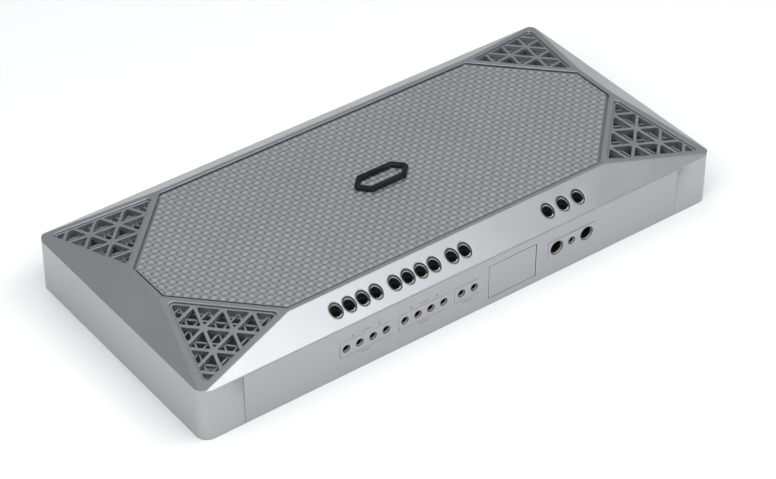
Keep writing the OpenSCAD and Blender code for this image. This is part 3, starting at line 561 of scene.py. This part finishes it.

# ---- Wall plates and fuse cover ------------------------------------------------------------------------
# Flat aluminium plates close the front and rear, flush with the casting, with raised pads around the wire
# entries. A snap-in cover over the fuses is flush with the front plate. The front plate and cover take a
# darker copy of the casting's paint as painted shade, and their gap walls fade to near-black as painted
# shadow in the gaps.

# Painted shadow: the front plate's gap walls fade to near-black between these depths.
GAP_SHADOW_STARTS = 0.35 * MM
GAP_SHADOW_FULL = 0.5 * MM
# The front plate and fuse cover take a darker copy of the casting's paint: painted shade on the front wall.
front_plate_paint_shaded = paint_material("front_plate_paint_shaded", (0.44, 0.445, 0.46), (0.38, 0.385, 0.40), 0.4 * MM)
front_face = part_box("housing")[0]
shaded_below(front_plate_paint_shaded, front_face, Vector((0.0, -1.0, 0.0)), GAP_SHADOW_STARTS, GAP_SHADOW_FULL, PAINTED_GAP_SHADOW)
for node, name, body in (("terminal_plate", "terminal_face", "amplifier"),
                         ("fuse_cover", "fuse_cover_face", "fuse_door"),
                         ("control_plate", "control_face", "amplifier")):
    plate = rounded_copy(node, name, 0.35 * MM, least_face=25)
    dress(plate, casting_paint if node == "control_plate" else front_plate_paint_shaded)
    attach(plate, body)
    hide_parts(node)

# ---- Wire terminals ------------------------------------------------------------------------------------
# Nickel-plated brass barrels hold the bare wire ends under socket set screws. Black mouldings insulate
# them, and black bushes line the screw holes in the bevel. Past a plated band at the mouth the barrels are
# coloured black as painted shade in their bores; the light band on each bush's ledge is partly plating and
# partly painted highlight on the lit step.

nickel_plate = surface_finish("nickel_plate", (0.72, 0.70, 0.66), (0.60, 0.58, 0.54), metallic=1.0,
                              roughness=0.22, grain_size=0.9 * MM, grain_depth=0.008 * MM, spread=0.12,
                              edge=(0.80, 0.78, 0.74))
moulded_black = surface_finish("moulded_black", (0.022, 0.022, 0.024), (0.012, 0.012, 0.013), metallic=0.0,
                               roughness=0.42, grain_size=0.25 * MM, grain_depth=0.02 * MM, spread=0.12,
                               edge=(0.05, 0.05, 0.052), dust=0.10)
zinc_screw = surface_finish("zinc_screw", (0.50, 0.50, 0.51), (0.36, 0.36, 0.37), metallic=1.0,
                            roughness=0.34, grain_size=0.3 * MM, grain_depth=0.012 * MM, spread=0.14,
                            edge=(0.66, 0.66, 0.67))
black_oxide = surface_finish("black_oxide", (0.045, 0.045, 0.048), (0.02, 0.02, 0.022), metallic=0.9,
                             roughness=0.40, grain_size=0.3 * MM, grain_depth=0.012 * MM,
                             edge=(0.12, 0.12, 0.125))


def front_bevel():
    """The plane of the housing's front bevel: a point on it and its outward normal."""
    sloping = [face for face in nodes["housing"].data.polygons
               if face.normal.y < -0.3 and face.normal.z > 0.5]
    bevel = max(sloping, key=lambda face: face.area)
    return bevel.center.copy(), bevel.normal.copy()


def banded_material(name, point, outward, first, last):
    """Black, with a light half-metallic band between two depths below a plane, such as a hole's mouth. In the
    barrels the black is painted shade in the bore; in the bushes the black is their own plastic and the band
    is partly plating, partly painted highlight on the lit ledge.
    """
    material, tree, shader, place = start_material(name, 0.0)
    depth = depth_below(tree, place, point, outward)
    band_mask = math_node(tree, "MULTIPLY", math_node(tree, "GREATER_THAN", depth, first),
                       math_node(tree, "LESS_THAN", depth, last))
    grain = use_group(tree, GRAIN, Vector=place, Grain_Size=0.4 * MM, Cloud_Size=8 * MM)
    band_colour = mix_colour(tree, grain.outputs["Cloud"], (0.52, 0.52, 0.53), (0.74, 0.74, 0.74))
    black_plastic_and_bore_shade = mix_colour(tree, grain.outputs["Grain"], (0.006, 0.006, 0.007), (0.014, 0.014, 0.015))
    tree.links.new(mix_colour(tree, band_mask, black_plastic_and_bore_shade, band_colour), shader.inputs["Base Color"])
    tree.links.new(math_node(tree, "MULTIPLY", band_mask, 0.5), shader.inputs["Metallic"])
    vary_roughness(tree, shader, grain.outputs["Grain"], 0.30, 0.45)
    join_bump(tree, shader, grain.outputs["Height"], 0.01 * MM)
    return material


# Painted shade: the barrels are black past the band. Partly painted highlight: the light band on the bush
# ledge.
TUBE_BAND_THEN_BORE_SHADE = (0.10 * MM, 1.5 * MM)
BUSH_LEDGE_HIGHLIGHT_BAND = (0.7 * MM, 1.8 * MM)
nose = Vector((0.0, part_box("speaker_barrels")[0].y, 0.0))
tube_with_painted_bore_shade = banded_material("tube_with_painted_bore_shade", nose, Vector((0.0, -1.0, 0.0)), *TUBE_BAND_THEN_BORE_SHADE)
bush_with_painted_ledge_highlight = banded_material("bush_with_painted_ledge_highlight", *front_bevel(), *BUSH_LEDGE_HIGHLIGHT_BAND)
for node in ("speaker_barrels", "power_barrels"):
    dress(nodes[node], tube_with_painted_bore_shade)
dress(nodes["screw_bushes"], bush_with_painted_ledge_highlight)
for node in ("front_speaker_block", "rear_speaker_block", "subwoofer_block", "power_block"):
    dress(nodes[node], moulded_black)
for node in ("speaker_set_screws", "power_set_screws"):
    dress(nodes[node], black_oxide)

# ---- Fuses ---------------------------------------------------------------------------------------------
# Three blade fuses stand side by side in a black holder behind the cover. Their bodies are moulded in clear
# orange plastic, with plated zinc blades held in stamped brass clips.

fuse_plastic = surface_finish("fuse_plastic", (0.85, 0.26, 0.04), (0.62, 0.15, 0.02), metallic=0.0,
                              roughness=0.22, grain_size=1.5 * MM, grain_depth=0.01 * MM,
                              edge=(0.95, 0.45, 0.15), Transmission_Weight=0.25, IOR=1.5)
stamped_brass = surface_finish("stamped_brass", (0.72, 0.50, 0.22), (0.55, 0.36, 0.14), metallic=1.0,
                               roughness=0.32, grain_size=0.5 * MM, grain_depth=0.01 * MM)
dress(nodes["fuse_holder"], moulded_black)
dress(nodes["fuse_bodies"], fuse_plastic)
dress(nodes["fuse_blades"], nickel_plate)
dress(nodes["fuse_clips"], stamped_brass)

# ---- Boards --------------------------------------------------------------------------------------------
# The main board and an upright driver board: green solder mask over copper tracks. The main board stands
# on nickel spacers above an insulating film.


def board_material():
    """Solder mask that stands up a little over rows of copper tracks."""
    material, tree, shader, place = start_material("solder_mask", 0.0, IOR=1.5)
    tracks = add_node(tree, "ShaderNodeTexBrick",
                      {"Vector": place, "Scale": 1.0, "Brick Width": 9 * MM, "Row Height": 2.2 * MM,
                       "Mortar Size": 0.35 * MM, "Mortar Smooth": 0.1, "Color1": (1, 1, 1, 1),
                       "Color2": (0.7, 0.7, 0.7, 1), "Mortar": (0, 0, 0, 1)})
    grain = use_group(tree, GRAIN, Vector=place, Grain_Size=0.4 * MM, Cloud_Size=15 * MM)
    mask = mix_colour(tree, grain.outputs["Grain"], (0.012, 0.10, 0.045), (0.02, 0.15, 0.07))
    colour = mix_colour(tree, tracks.outputs["Fac"], (0.03, 0.20, 0.09), mask)
    tree.links.new(colour, shader.inputs["Base Color"])
    vary_roughness(tree, shader, grain.outputs["Cloud"], 0.22, 0.40)
    join_bump(tree, shader, tracks.outputs["Fac"], -0.03 * MM)
    return material


solder_mask = board_material()
film = surface_finish("insulating_film", (0.72, 0.66, 0.48), (0.60, 0.54, 0.38), metallic=0.0, roughness=0.5,
                      grain_size=2 * MM, grain_depth=0.03 * MM, Transmission_Weight=0.2)
for node in ("main_board", "driver_board"):
    dress(nodes[node], solder_mask)
for node in ("board_connector", "driver_chips"):
    dress(nodes[node], moulded_black)
dress(nodes["board_spacers"], nickel_plate)
dress(nodes["board_screws"], zinc_screw)
dress(nodes["insulating_sheet"], film)

# ---- Coils and capacitors ------------------------------------------------------------------------------
# Ring transformers and bobbin inductors are wound with enamelled copper over dark ferrite. The rail
# capacitors are cans in dark shrink sleeves.

WIRE_ACROSS = 0.9 * MM
WAVE_UNIT = math.tau / 20


def winding_material():
    """Close turns of round wire that run up and over. WAVE_UNIT is the length of a wave at scale 1."""
    material, tree, shader, place = start_material("enamelled_wire", 0.85)
    turns = add_node(tree, "ShaderNodeTexWave",
                     {"Vector": place, "Scale": WAVE_UNIT / WIRE_ACROSS, "Distortion": 0.6, "Detail": 1.0},
                     wave_type="BANDS", bands_direction="DIAGONAL")
    grain = use_group(tree, GRAIN, Vector=place, Grain_Size=0.4 * MM, Cloud_Size=8 * MM)
    colour = mix_colour(tree, grain.outputs["Cloud"], (0.30, 0.10, 0.035), (0.52, 0.22, 0.09))
    # Painted shade: the colour darkens in the grooves between turns, where the bump is lowest.
    colour = mix_colour(tree, turns.outputs["Fac"], (0.12, 0.035, 0.015), colour)
    tree.links.new(colour, shader.inputs["Base Color"])
    vary_roughness(tree, shader, grain.outputs["Grain"], 0.22, 0.38)
    join_bump(tree, shader, turns.outputs["Fac"], 0.4 * MM)
    return material


enamelled_wire = winding_material()
ferrite = surface_finish("ferrite", (0.055, 0.055, 0.058), (0.03, 0.03, 0.032), metallic=0.1, roughness=0.6,
                         grain_size=0.35 * MM, grain_depth=0.03 * MM, edge=(0.10, 0.10, 0.10))
can_sleeve = surface_finish("can_sleeve", (0.025, 0.03, 0.06), (0.012, 0.014, 0.035), metallic=0.0,
                            roughness=0.25, grain_size=2.5 * MM, grain_depth=0.02 * MM, edge=(0.3, 0.3, 0.32))
for node in ("transformer_windings", "inductor_windings"):
    dress(nodes[node], enamelled_wire)
for node in ("transformer_cores", "inductor_cores"):
    dress(nodes[node], ferrite)
dress(nodes["rail_capacitors"], can_sleeve)

# ---- Heat bars and transistors -------------------------------------------------------------------------
# Extruded aluminium bars carry the heat of the clamped power transistors up into the housing's top.
# Spring steel strips press the black packages against the bars.

DRAWN_LINE = 0.25 * MM


def brushed_material(name, light, dark, roughness, stretch):
    """Bare metal with drawing lines along X, finer across than along by the stretch."""
    material, tree, shader, place = start_material(name, 1.0)
    drawn = add_node(tree, "ShaderNodeMapping", {"Vector": place, "Scale": (1 / stretch, 1.0, 1.0)})
    lines = add_node(tree, "ShaderNodeTexNoise",
                     {"Vector": drawn.outputs["Vector"], "Scale": 1 / DRAWN_LINE, "Detail": 3.0})
    grain = use_group(tree, GRAIN, Vector=place, Grain_Size=0.5 * MM, Cloud_Size=20 * MM)
    shade = math_node(tree, "MULTIPLY", lines.outputs["Fac"], grain.outputs["Cloud"])
    tree.links.new(mix_colour(tree, math_node(tree, "MULTIPLY", shade, 2.2), dark, light),
                   shader.inputs["Base Color"])
    vary_roughness(tree, shader, lines.outputs["Fac"], roughness - 0.08, roughness + 0.12)
    join_bump(tree, shader, lines.outputs["Fac"], 0.01 * MM)
    return material


bare_aluminium = brushed_material("bare_aluminium", (0.62, 0.625, 0.64), (0.46, 0.465, 0.48), 0.36, 30)
spring_steel = brushed_material("spring_steel", (0.48, 0.48, 0.49), (0.34, 0.34, 0.35), 0.34, 18)
dress(nodes["heat_bars"], bare_aluminium)
dress(nodes["power_transistors"], moulded_black)
dress(nodes["transistor_clamps"], spring_steel)
for node in ("clamp_screws", "heat_bar_screws"):
    dress(nodes[node], zinc_screw)

# ---- Signal sockets ------------------------------------------------------------------------------------
# Three pairs of phono sockets stand out of the rear plate: nickel-plated shells around coloured inserts,
# white above and red below, moulded into one black block.


def insert_material():
    """White inserts in the upper row and red ones below."""
    material, tree, shader, place = start_material("socket_inserts", 0.0, IOR=1.5)
    low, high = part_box("rca_inserts")
    spot = add_node(tree, "ShaderNodeSeparateXYZ", {0: place})
    upper = math_node(tree, "GREATER_THAN", spot.outputs["Z"], (low.z + high.z) / 2)
    grain = use_group(tree, GRAIN, Vector=place, Grain_Size=0.4 * MM, Cloud_Size=6 * MM)
    white = mix_colour(tree, grain.outputs["Cloud"], (0.66, 0.65, 0.62), (0.80, 0.79, 0.76))
    red = mix_colour(tree, grain.outputs["Cloud"], (0.42, 0.015, 0.012), (0.58, 0.03, 0.02))
    tree.links.new(mix_colour(tree, upper, red, white), shader.inputs["Base Color"])
    vary_roughness(tree, shader, grain.outputs["Grain"], 0.24, 0.40)
    join_bump(tree, shader, grain.outputs["Height"], 0.01 * MM)
    return material


dress(nodes["rca_block"], moulded_black)
dress(nodes["rca_shells"], nickel_plate)
dress(nodes["rca_inserts"], insert_material())

# ---- Rotary controls and slide switches ----------------------------------------------------------------
# Seven trimmer controls end in black caps flush with the rear plate, turned with a screwdriver; three
# slide switches sit in slots below. Black acetal, with a screwdriver slot as the pointer.

control_black = surface_finish("control_black", (0.030, 0.030, 0.033), (0.018, 0.018, 0.020), metallic=0.0,
                               roughness=0.36, grain_size=0.3 * MM, grain_depth=0.015 * MM, spread=0.10,
                               edge=(0.09, 0.09, 0.095), dust=0.05)
for node in sorted(nodes):
    if node.endswith("_knob") or node.endswith("_slider"):
        dress(nodes[node], control_black)
dress(nodes["pot_bodies"], moulded_black)
dress(nodes["slide_switch_bodies"], spring_steel)
dress(nodes["remote_socket"], moulded_black)

# ---- Printed marks -------------------------------------------------------------------------------------
# Screen-printed ink on both plates: a scale of short lines around each rotary control, a line under each
# group of wire entries, signs above them and plain bars in place of legends. The line under each group,
# with its turned-up ends, runs along the bottom edge and lower corners of the raised pad and stands in as
# painted shadow under the pad as well as print. It stands 0.04 mm proud.

INK_PROUD = 0.04 * MM
SCALE_MARKS = 11
SCALE_SWEEP = math.radians(300)
MARK_LENGTH = 1.3 * MM
MARK_WIDTH = 0.32 * MM
PAD_SIDE = 5.0 * MM
SHADOW_LINE_DROP = 7.1 * MM
SIGN_RISE = 8.6 * MM
SIGN_SIZE = 2.2 * MM
LEGEND_LENGTH = 8.0 * MM
LEGEND_HEIGHT = 0.5 * MM
LEGEND_DROP = 2.4 * MM
SHADOW_LINE_END = 3.0 * MM
SIGN_STROKE = 0.45 * MM
SCALE_GAP = 1.6 * MM
BLOCK_GAP = 0.4 * MM
BARREL_RISE = 1.25 * MM


def build_scale_tree():
    """Short radial lines on an arc around each point of the given mesh, in the plane that faces +Y."""
    tree, given, made, sockets = geometry_tree("control_scales", [
        ("Radius", "NodeSocketFloat"), ("Sweep", "NodeSocketFloat"), ("Marks", "NodeSocketInt"),
        ("Mark Length", "NodeSocketFloat"), ("Mark Width", "NodeSocketFloat"), ("Ink", "NodeSocketFloat"),
        ("Material", "NodeSocketMaterial")])
    count = given.outputs["Marks"]
    line = add_node(tree, "GeometryNodeMeshLine", {"Count": count, "Offset": (0.0, 0.0, 0.0)})
    index = add_node(tree, "GeometryNodeInputIndex").outputs["Index"]
    share = math_node(tree, "DIVIDE", index, math_node(tree, "SUBTRACT", count, 1.0))
    angle = math_node(tree, "MULTIPLY", math_node(tree, "SUBTRACT", share, 0.5), given.outputs["Sweep"])
    side = math_node(tree, "MULTIPLY", math_node(tree, "SINE", angle), given.outputs["Radius"])
    up = math_node(tree, "MULTIPLY", math_node(tree, "COSINE", angle), given.outputs["Radius"])
    spot = add_node(tree, "ShaderNodeCombineXYZ", {"X": side, "Z": up})
    arc = add_node(tree, "GeometryNodeSetPosition",
                   {"Geometry": line.outputs["Mesh"], "Position": spot.outputs["Vector"]})
    size = add_node(tree, "ShaderNodeCombineXYZ", {
        "X": given.outputs["Mark Width"], "Y": given.outputs["Ink"], "Z": given.outputs["Mark Length"]})
    mark = add_node(tree, "GeometryNodeMeshCube", {"Size": size.outputs["Vector"]})
    turn = add_node(tree, "ShaderNodeCombineXYZ", {"Y": angle})
    marks = add_node(tree, "GeometryNodeInstanceOnPoints", {
        "Points": arc.outputs["Geometry"], "Instance": mark.outputs["Mesh"],
        "Rotation": turn.outputs["Vector"]})
    dial = add_node(tree, "GeometryNodeRealizeInstances", {"Geometry": marks.outputs["Instances"]})
    dials = add_node(tree, "GeometryNodeInstanceOnPoints", {
        "Points": given.outputs["Geometry"], "Instance": dial.outputs["Geometry"]})
    real = add_node(tree, "GeometryNodeRealizeInstances", {"Geometry": dials.outputs["Instances"]})
    named = add_node(tree, "GeometryNodeSetMaterial", {"Geometry": real.outputs["Geometry"],
                                                      "Material": given.outputs["Material"]})
    tree.links.new(named.outputs["Geometry"], made.inputs["Geometry"])
    return tree, sockets


def knob_centres(face_y):
    """A point on the rear plate's face for each rotary control."""
    spots = []
    for node in sorted(nodes):
        if node.endswith("_knob"):
            low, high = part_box(node)
            middle = (low + high) / 2
            spots.append((middle.x, face_y, middle.z))
    points = bpy.data.meshes.new("knob_centres")
    points.from_pydata(spots, [], [])
    return points


def ink_bar(mesh, x, z, length, height, face_y):
    """A printed bar on a plate's outer face, centred at x, z."""
    made = bmesh.ops.create_cube(mesh, size=1.0)["verts"]
    for vertex in made:
        vertex.co.x = x + vertex.co.x * length
        vertex.co.y = face_y + vertex.co.y * 2 * INK_PROUD
        vertex.co.z = z + vertex.co.z * height


def front_marks_and_pad_shadows():
    """For each group of wire entries: a line with turned-up ends below, along the pad's bottom edge as print
    and painted shadow, signs above its outer entries, and a bar above and below it where a legend would be."""
    mesh = bmesh.new()
    face_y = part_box("housing")[0].y
    low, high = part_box("rear_speaker_block")
    pitch = (high.x - low.x + BLOCK_GAP) / 4
    groups = (("front_speaker_block", 4), ("rear_speaker_block", 4), ("subwoofer_block", 2))
    wire_z = sum(corner.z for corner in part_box("speaker_barrels")) / 2 - BARREL_RISE
    for block, count in groups:
        low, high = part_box(block)
        middle = (low.x + high.x) / 2
        span = (count - 1) * pitch
        half = span / 2 + PAD_SIDE
        # Print and painted shadow: this line and its turned-up ends follow the raised pad's bottom edge.
        ink_bar(mesh, middle, wire_z - SHADOW_LINE_DROP, 2 * half, MARK_WIDTH, face_y)
        ink_bar(mesh, middle, wire_z - SHADOW_LINE_DROP - LEGEND_DROP, LEGEND_LENGTH, LEGEND_HEIGHT, face_y)
        for sign in (-1, 1):
            end_z = wire_z - SHADOW_LINE_DROP + SHADOW_LINE_END / 2
            ink_bar(mesh, middle + sign * half, end_z, MARK_WIDTH, SHADOW_LINE_END, face_y)
        if count == 4:
            ink_bar(mesh, middle, wire_z + SIGN_RISE, LEGEND_LENGTH, LEGEND_HEIGHT, face_y)
            for sign in (-1, 1):
                x = middle + sign * span / 3
                ink_bar(mesh, x, wire_z + SIGN_RISE, SIGN_SIZE, SIGN_STROKE, face_y)
                ink_bar(mesh, x, wire_z + SIGN_RISE, SIGN_STROKE, SIGN_SIZE, face_y)
    data = bpy.data.meshes.new("front_print_and_pad_shadow")
    mesh.to_mesh(data)
    mesh.free()
    piece = bpy.data.objects.new("front_print_and_pad_shadow", data)
    bpy.context.scene.collection.objects.link(piece)
    return piece


print_and_shadow_ink = surface_finish("grey_ink_and_painted_shadow", (0.17, 0.17, 0.18), (0.12, 0.12, 0.13), metallic=0.0, roughness=0.55,
                     grain_size=0.2 * MM, grain_depth=0.01 * MM)
scale_tree, scale_sockets = build_scale_tree()
rear_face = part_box("housing")[1].y
knob_radius = (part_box("bass_boost_knob")[1].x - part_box("bass_boost_knob")[0].x) / 2
scales = grown("control_scales", scale_tree, scale_sockets, {
    "Radius": knob_radius + SCALE_GAP, "Sweep": SCALE_SWEEP, "Marks": SCALE_MARKS,
    "Mark Length": MARK_LENGTH, "Mark Width": MARK_WIDTH, "Ink": 2 * INK_PROUD, "Material": print_and_shadow_ink},
    start=knob_centres(rear_face))
for print_and_shadow_piece in (scales, front_marks_and_pad_shadows()):
    dress(print_and_shadow_piece, print_and_shadow_ink)
    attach(print_and_shadow_piece, "amplifier")

# ---- Status lights -------------------------------------------------------------------------------------
# Two clear light pipes show power and protection through the rear plate. They glow softly from behind.


def light_pipe_material():
    material, tree, shader, place = start_material("light_pipe", 0.0, IOR=1.49, Transmission_Weight=0.6,
                                                   Emission_Strength=0.6)
    grain = use_group(tree, GRAIN, Vector=place, Grain_Size=0.3 * MM, Cloud_Size=2 * MM)
    tree.links.new(mix_colour(tree, grain.outputs["Cloud"], (0.55, 0.75, 0.85), (0.75, 0.88, 0.92)),
                   shader.inputs["Base Color"])
    tree.links.new(mix_colour(tree, grain.outputs["Grain"], (0.10, 0.45, 0.75), (0.20, 0.60, 0.85)),
                   shader.inputs["Emission Color"])
    vary_roughness(tree, shader, grain.outputs["Grain"], 0.15, 0.30)
    return material


dress(nodes["status_lights"], light_pipe_material())

# ---- Base plate and its screws -------------------------------------------------------------------------
# A zinc-plated steel sheet closes the underside. Screws hold it and the wall plates to the casting.

zinc_sheet = brushed_material("zinc_sheet", (0.56, 0.57, 0.58), (0.40, 0.41, 0.42), 0.38, 12)
dress(nodes["base_plate"], zinc_sheet)
for node in ("base_screws", "plate_screws"):
    dress(nodes[node], zinc_screw)

# ---- Studio --------------------------------------------------------------------------------------------
# A pale seamless floor, a wide softbox above the front, fills on three sides and a dim surround.

FLOOR_HALF = 6.0
FLOOR_GREY = 0.62
corners = ((-1, -1), (1, -1), (1, 1), (-1, 1))
floor_mesh = bpy.data.meshes.new("floor")
floor_mesh.from_pydata([(x * FLOOR_HALF, y * FLOOR_HALF, 0.0) for x, y in corners], [], [(0, 1, 2, 3)])
floor = bpy.data.objects.new("floor", floor_mesh)
bpy.context.scene.collection.objects.link(floor)
floor_paper, _, floor_shader, _ = start_material("floor_paper", 0.0, Roughness=0.9)
floor_shader.inputs["Base Color"].default_value = (FLOOR_GREY, FLOOR_GREY, FLOOR_GREY, 1.0)
dress(floor, floor_paper)


def softbox(name, azimuth, elevation, distance, size, power, glossy=True):
    """A square area light that looks at the amplifier from an azimuth and elevation in degrees."""
    light = bpy.data.lights.new(name, "AREA")
    light.shape = "RECTANGLE"
    light.size, light.size_y = size
    light.energy = power
    lamp = bpy.data.objects.new(name, light)
    bpy.context.scene.collection.objects.link(lamp)
    a, e = math.radians(azimuth), math.radians(elevation)
    direction = Vector((math.sin(a) * math.cos(e), -math.cos(a) * math.cos(e), math.sin(e)))
    lamp.location = direction * distance
    lamp.rotation_euler = direction.to_track_quat("Z", "Y").to_euler()
    lamp.visible_glossy = glossy


softbox("key_softbox", -5, 62, 1.5, (1.45, 1.05), 15)
softbox("right_fill", 70, 52, 2.0, (1.2, 1.2), 18, glossy=False)
softbox("left_fill", -80, 48, 2.0, (1.4, 1.4), 25, glossy=False)
softbox("back_fill", 180, 60, 2.4, (1.6, 1.6), 18, glossy=False)

world = bpy.data.worlds.new("studio_surround")
world.use_nodes = True
surround = world.node_tree.nodes["Background"]
surround.inputs["Color"].default_value = (0.92, 0.95, 1.0, 1.0)
surround.inputs["Strength"].default_value = 0.34
bpy.context.scene.world = world
bpy.context.scene.view_settings.view_transform = "Standard"

# ---- Camera --------------------------------------------------------------------------------------------
# A long lens looks down on the front left corner; the aim is the middle of the underside, shifted a little.

AZIMUTH = -36.938
ELEVATION = 38.367
ROLL = 0.258
DISTANCE = 4.219 * (cad_box[1] - cad_box[0]).x
LENS = 120.70
AIM = Vector((0.00882, -0.00619, 0.00044)) * (cad_box[1] - cad_box[0]).x

azimuth, elevation = math.radians(AZIMUTH), math.radians(ELEVATION)
backward = Vector((math.sin(azimuth) * math.cos(elevation), -math.cos(azimuth) * math.cos(elevation),
                   math.sin(elevation)))
camera_data = bpy.data.cameras.new("product_camera")
camera_data.lens = LENS
camera_data.sensor_width = 36.0
camera = bpy.data.objects.new("product_camera", camera_data)
bpy.context.scene.collection.objects.link(camera)
level = backward.to_track_quat("Z", "Y").to_matrix().to_4x4()
camera.matrix_world = (Matrix.Translation(AIM + backward * DISTANCE) @ level
                       @ Matrix.Rotation(math.radians(ROLL), 4, "Z"))
bpy.context.scene.camera = camera
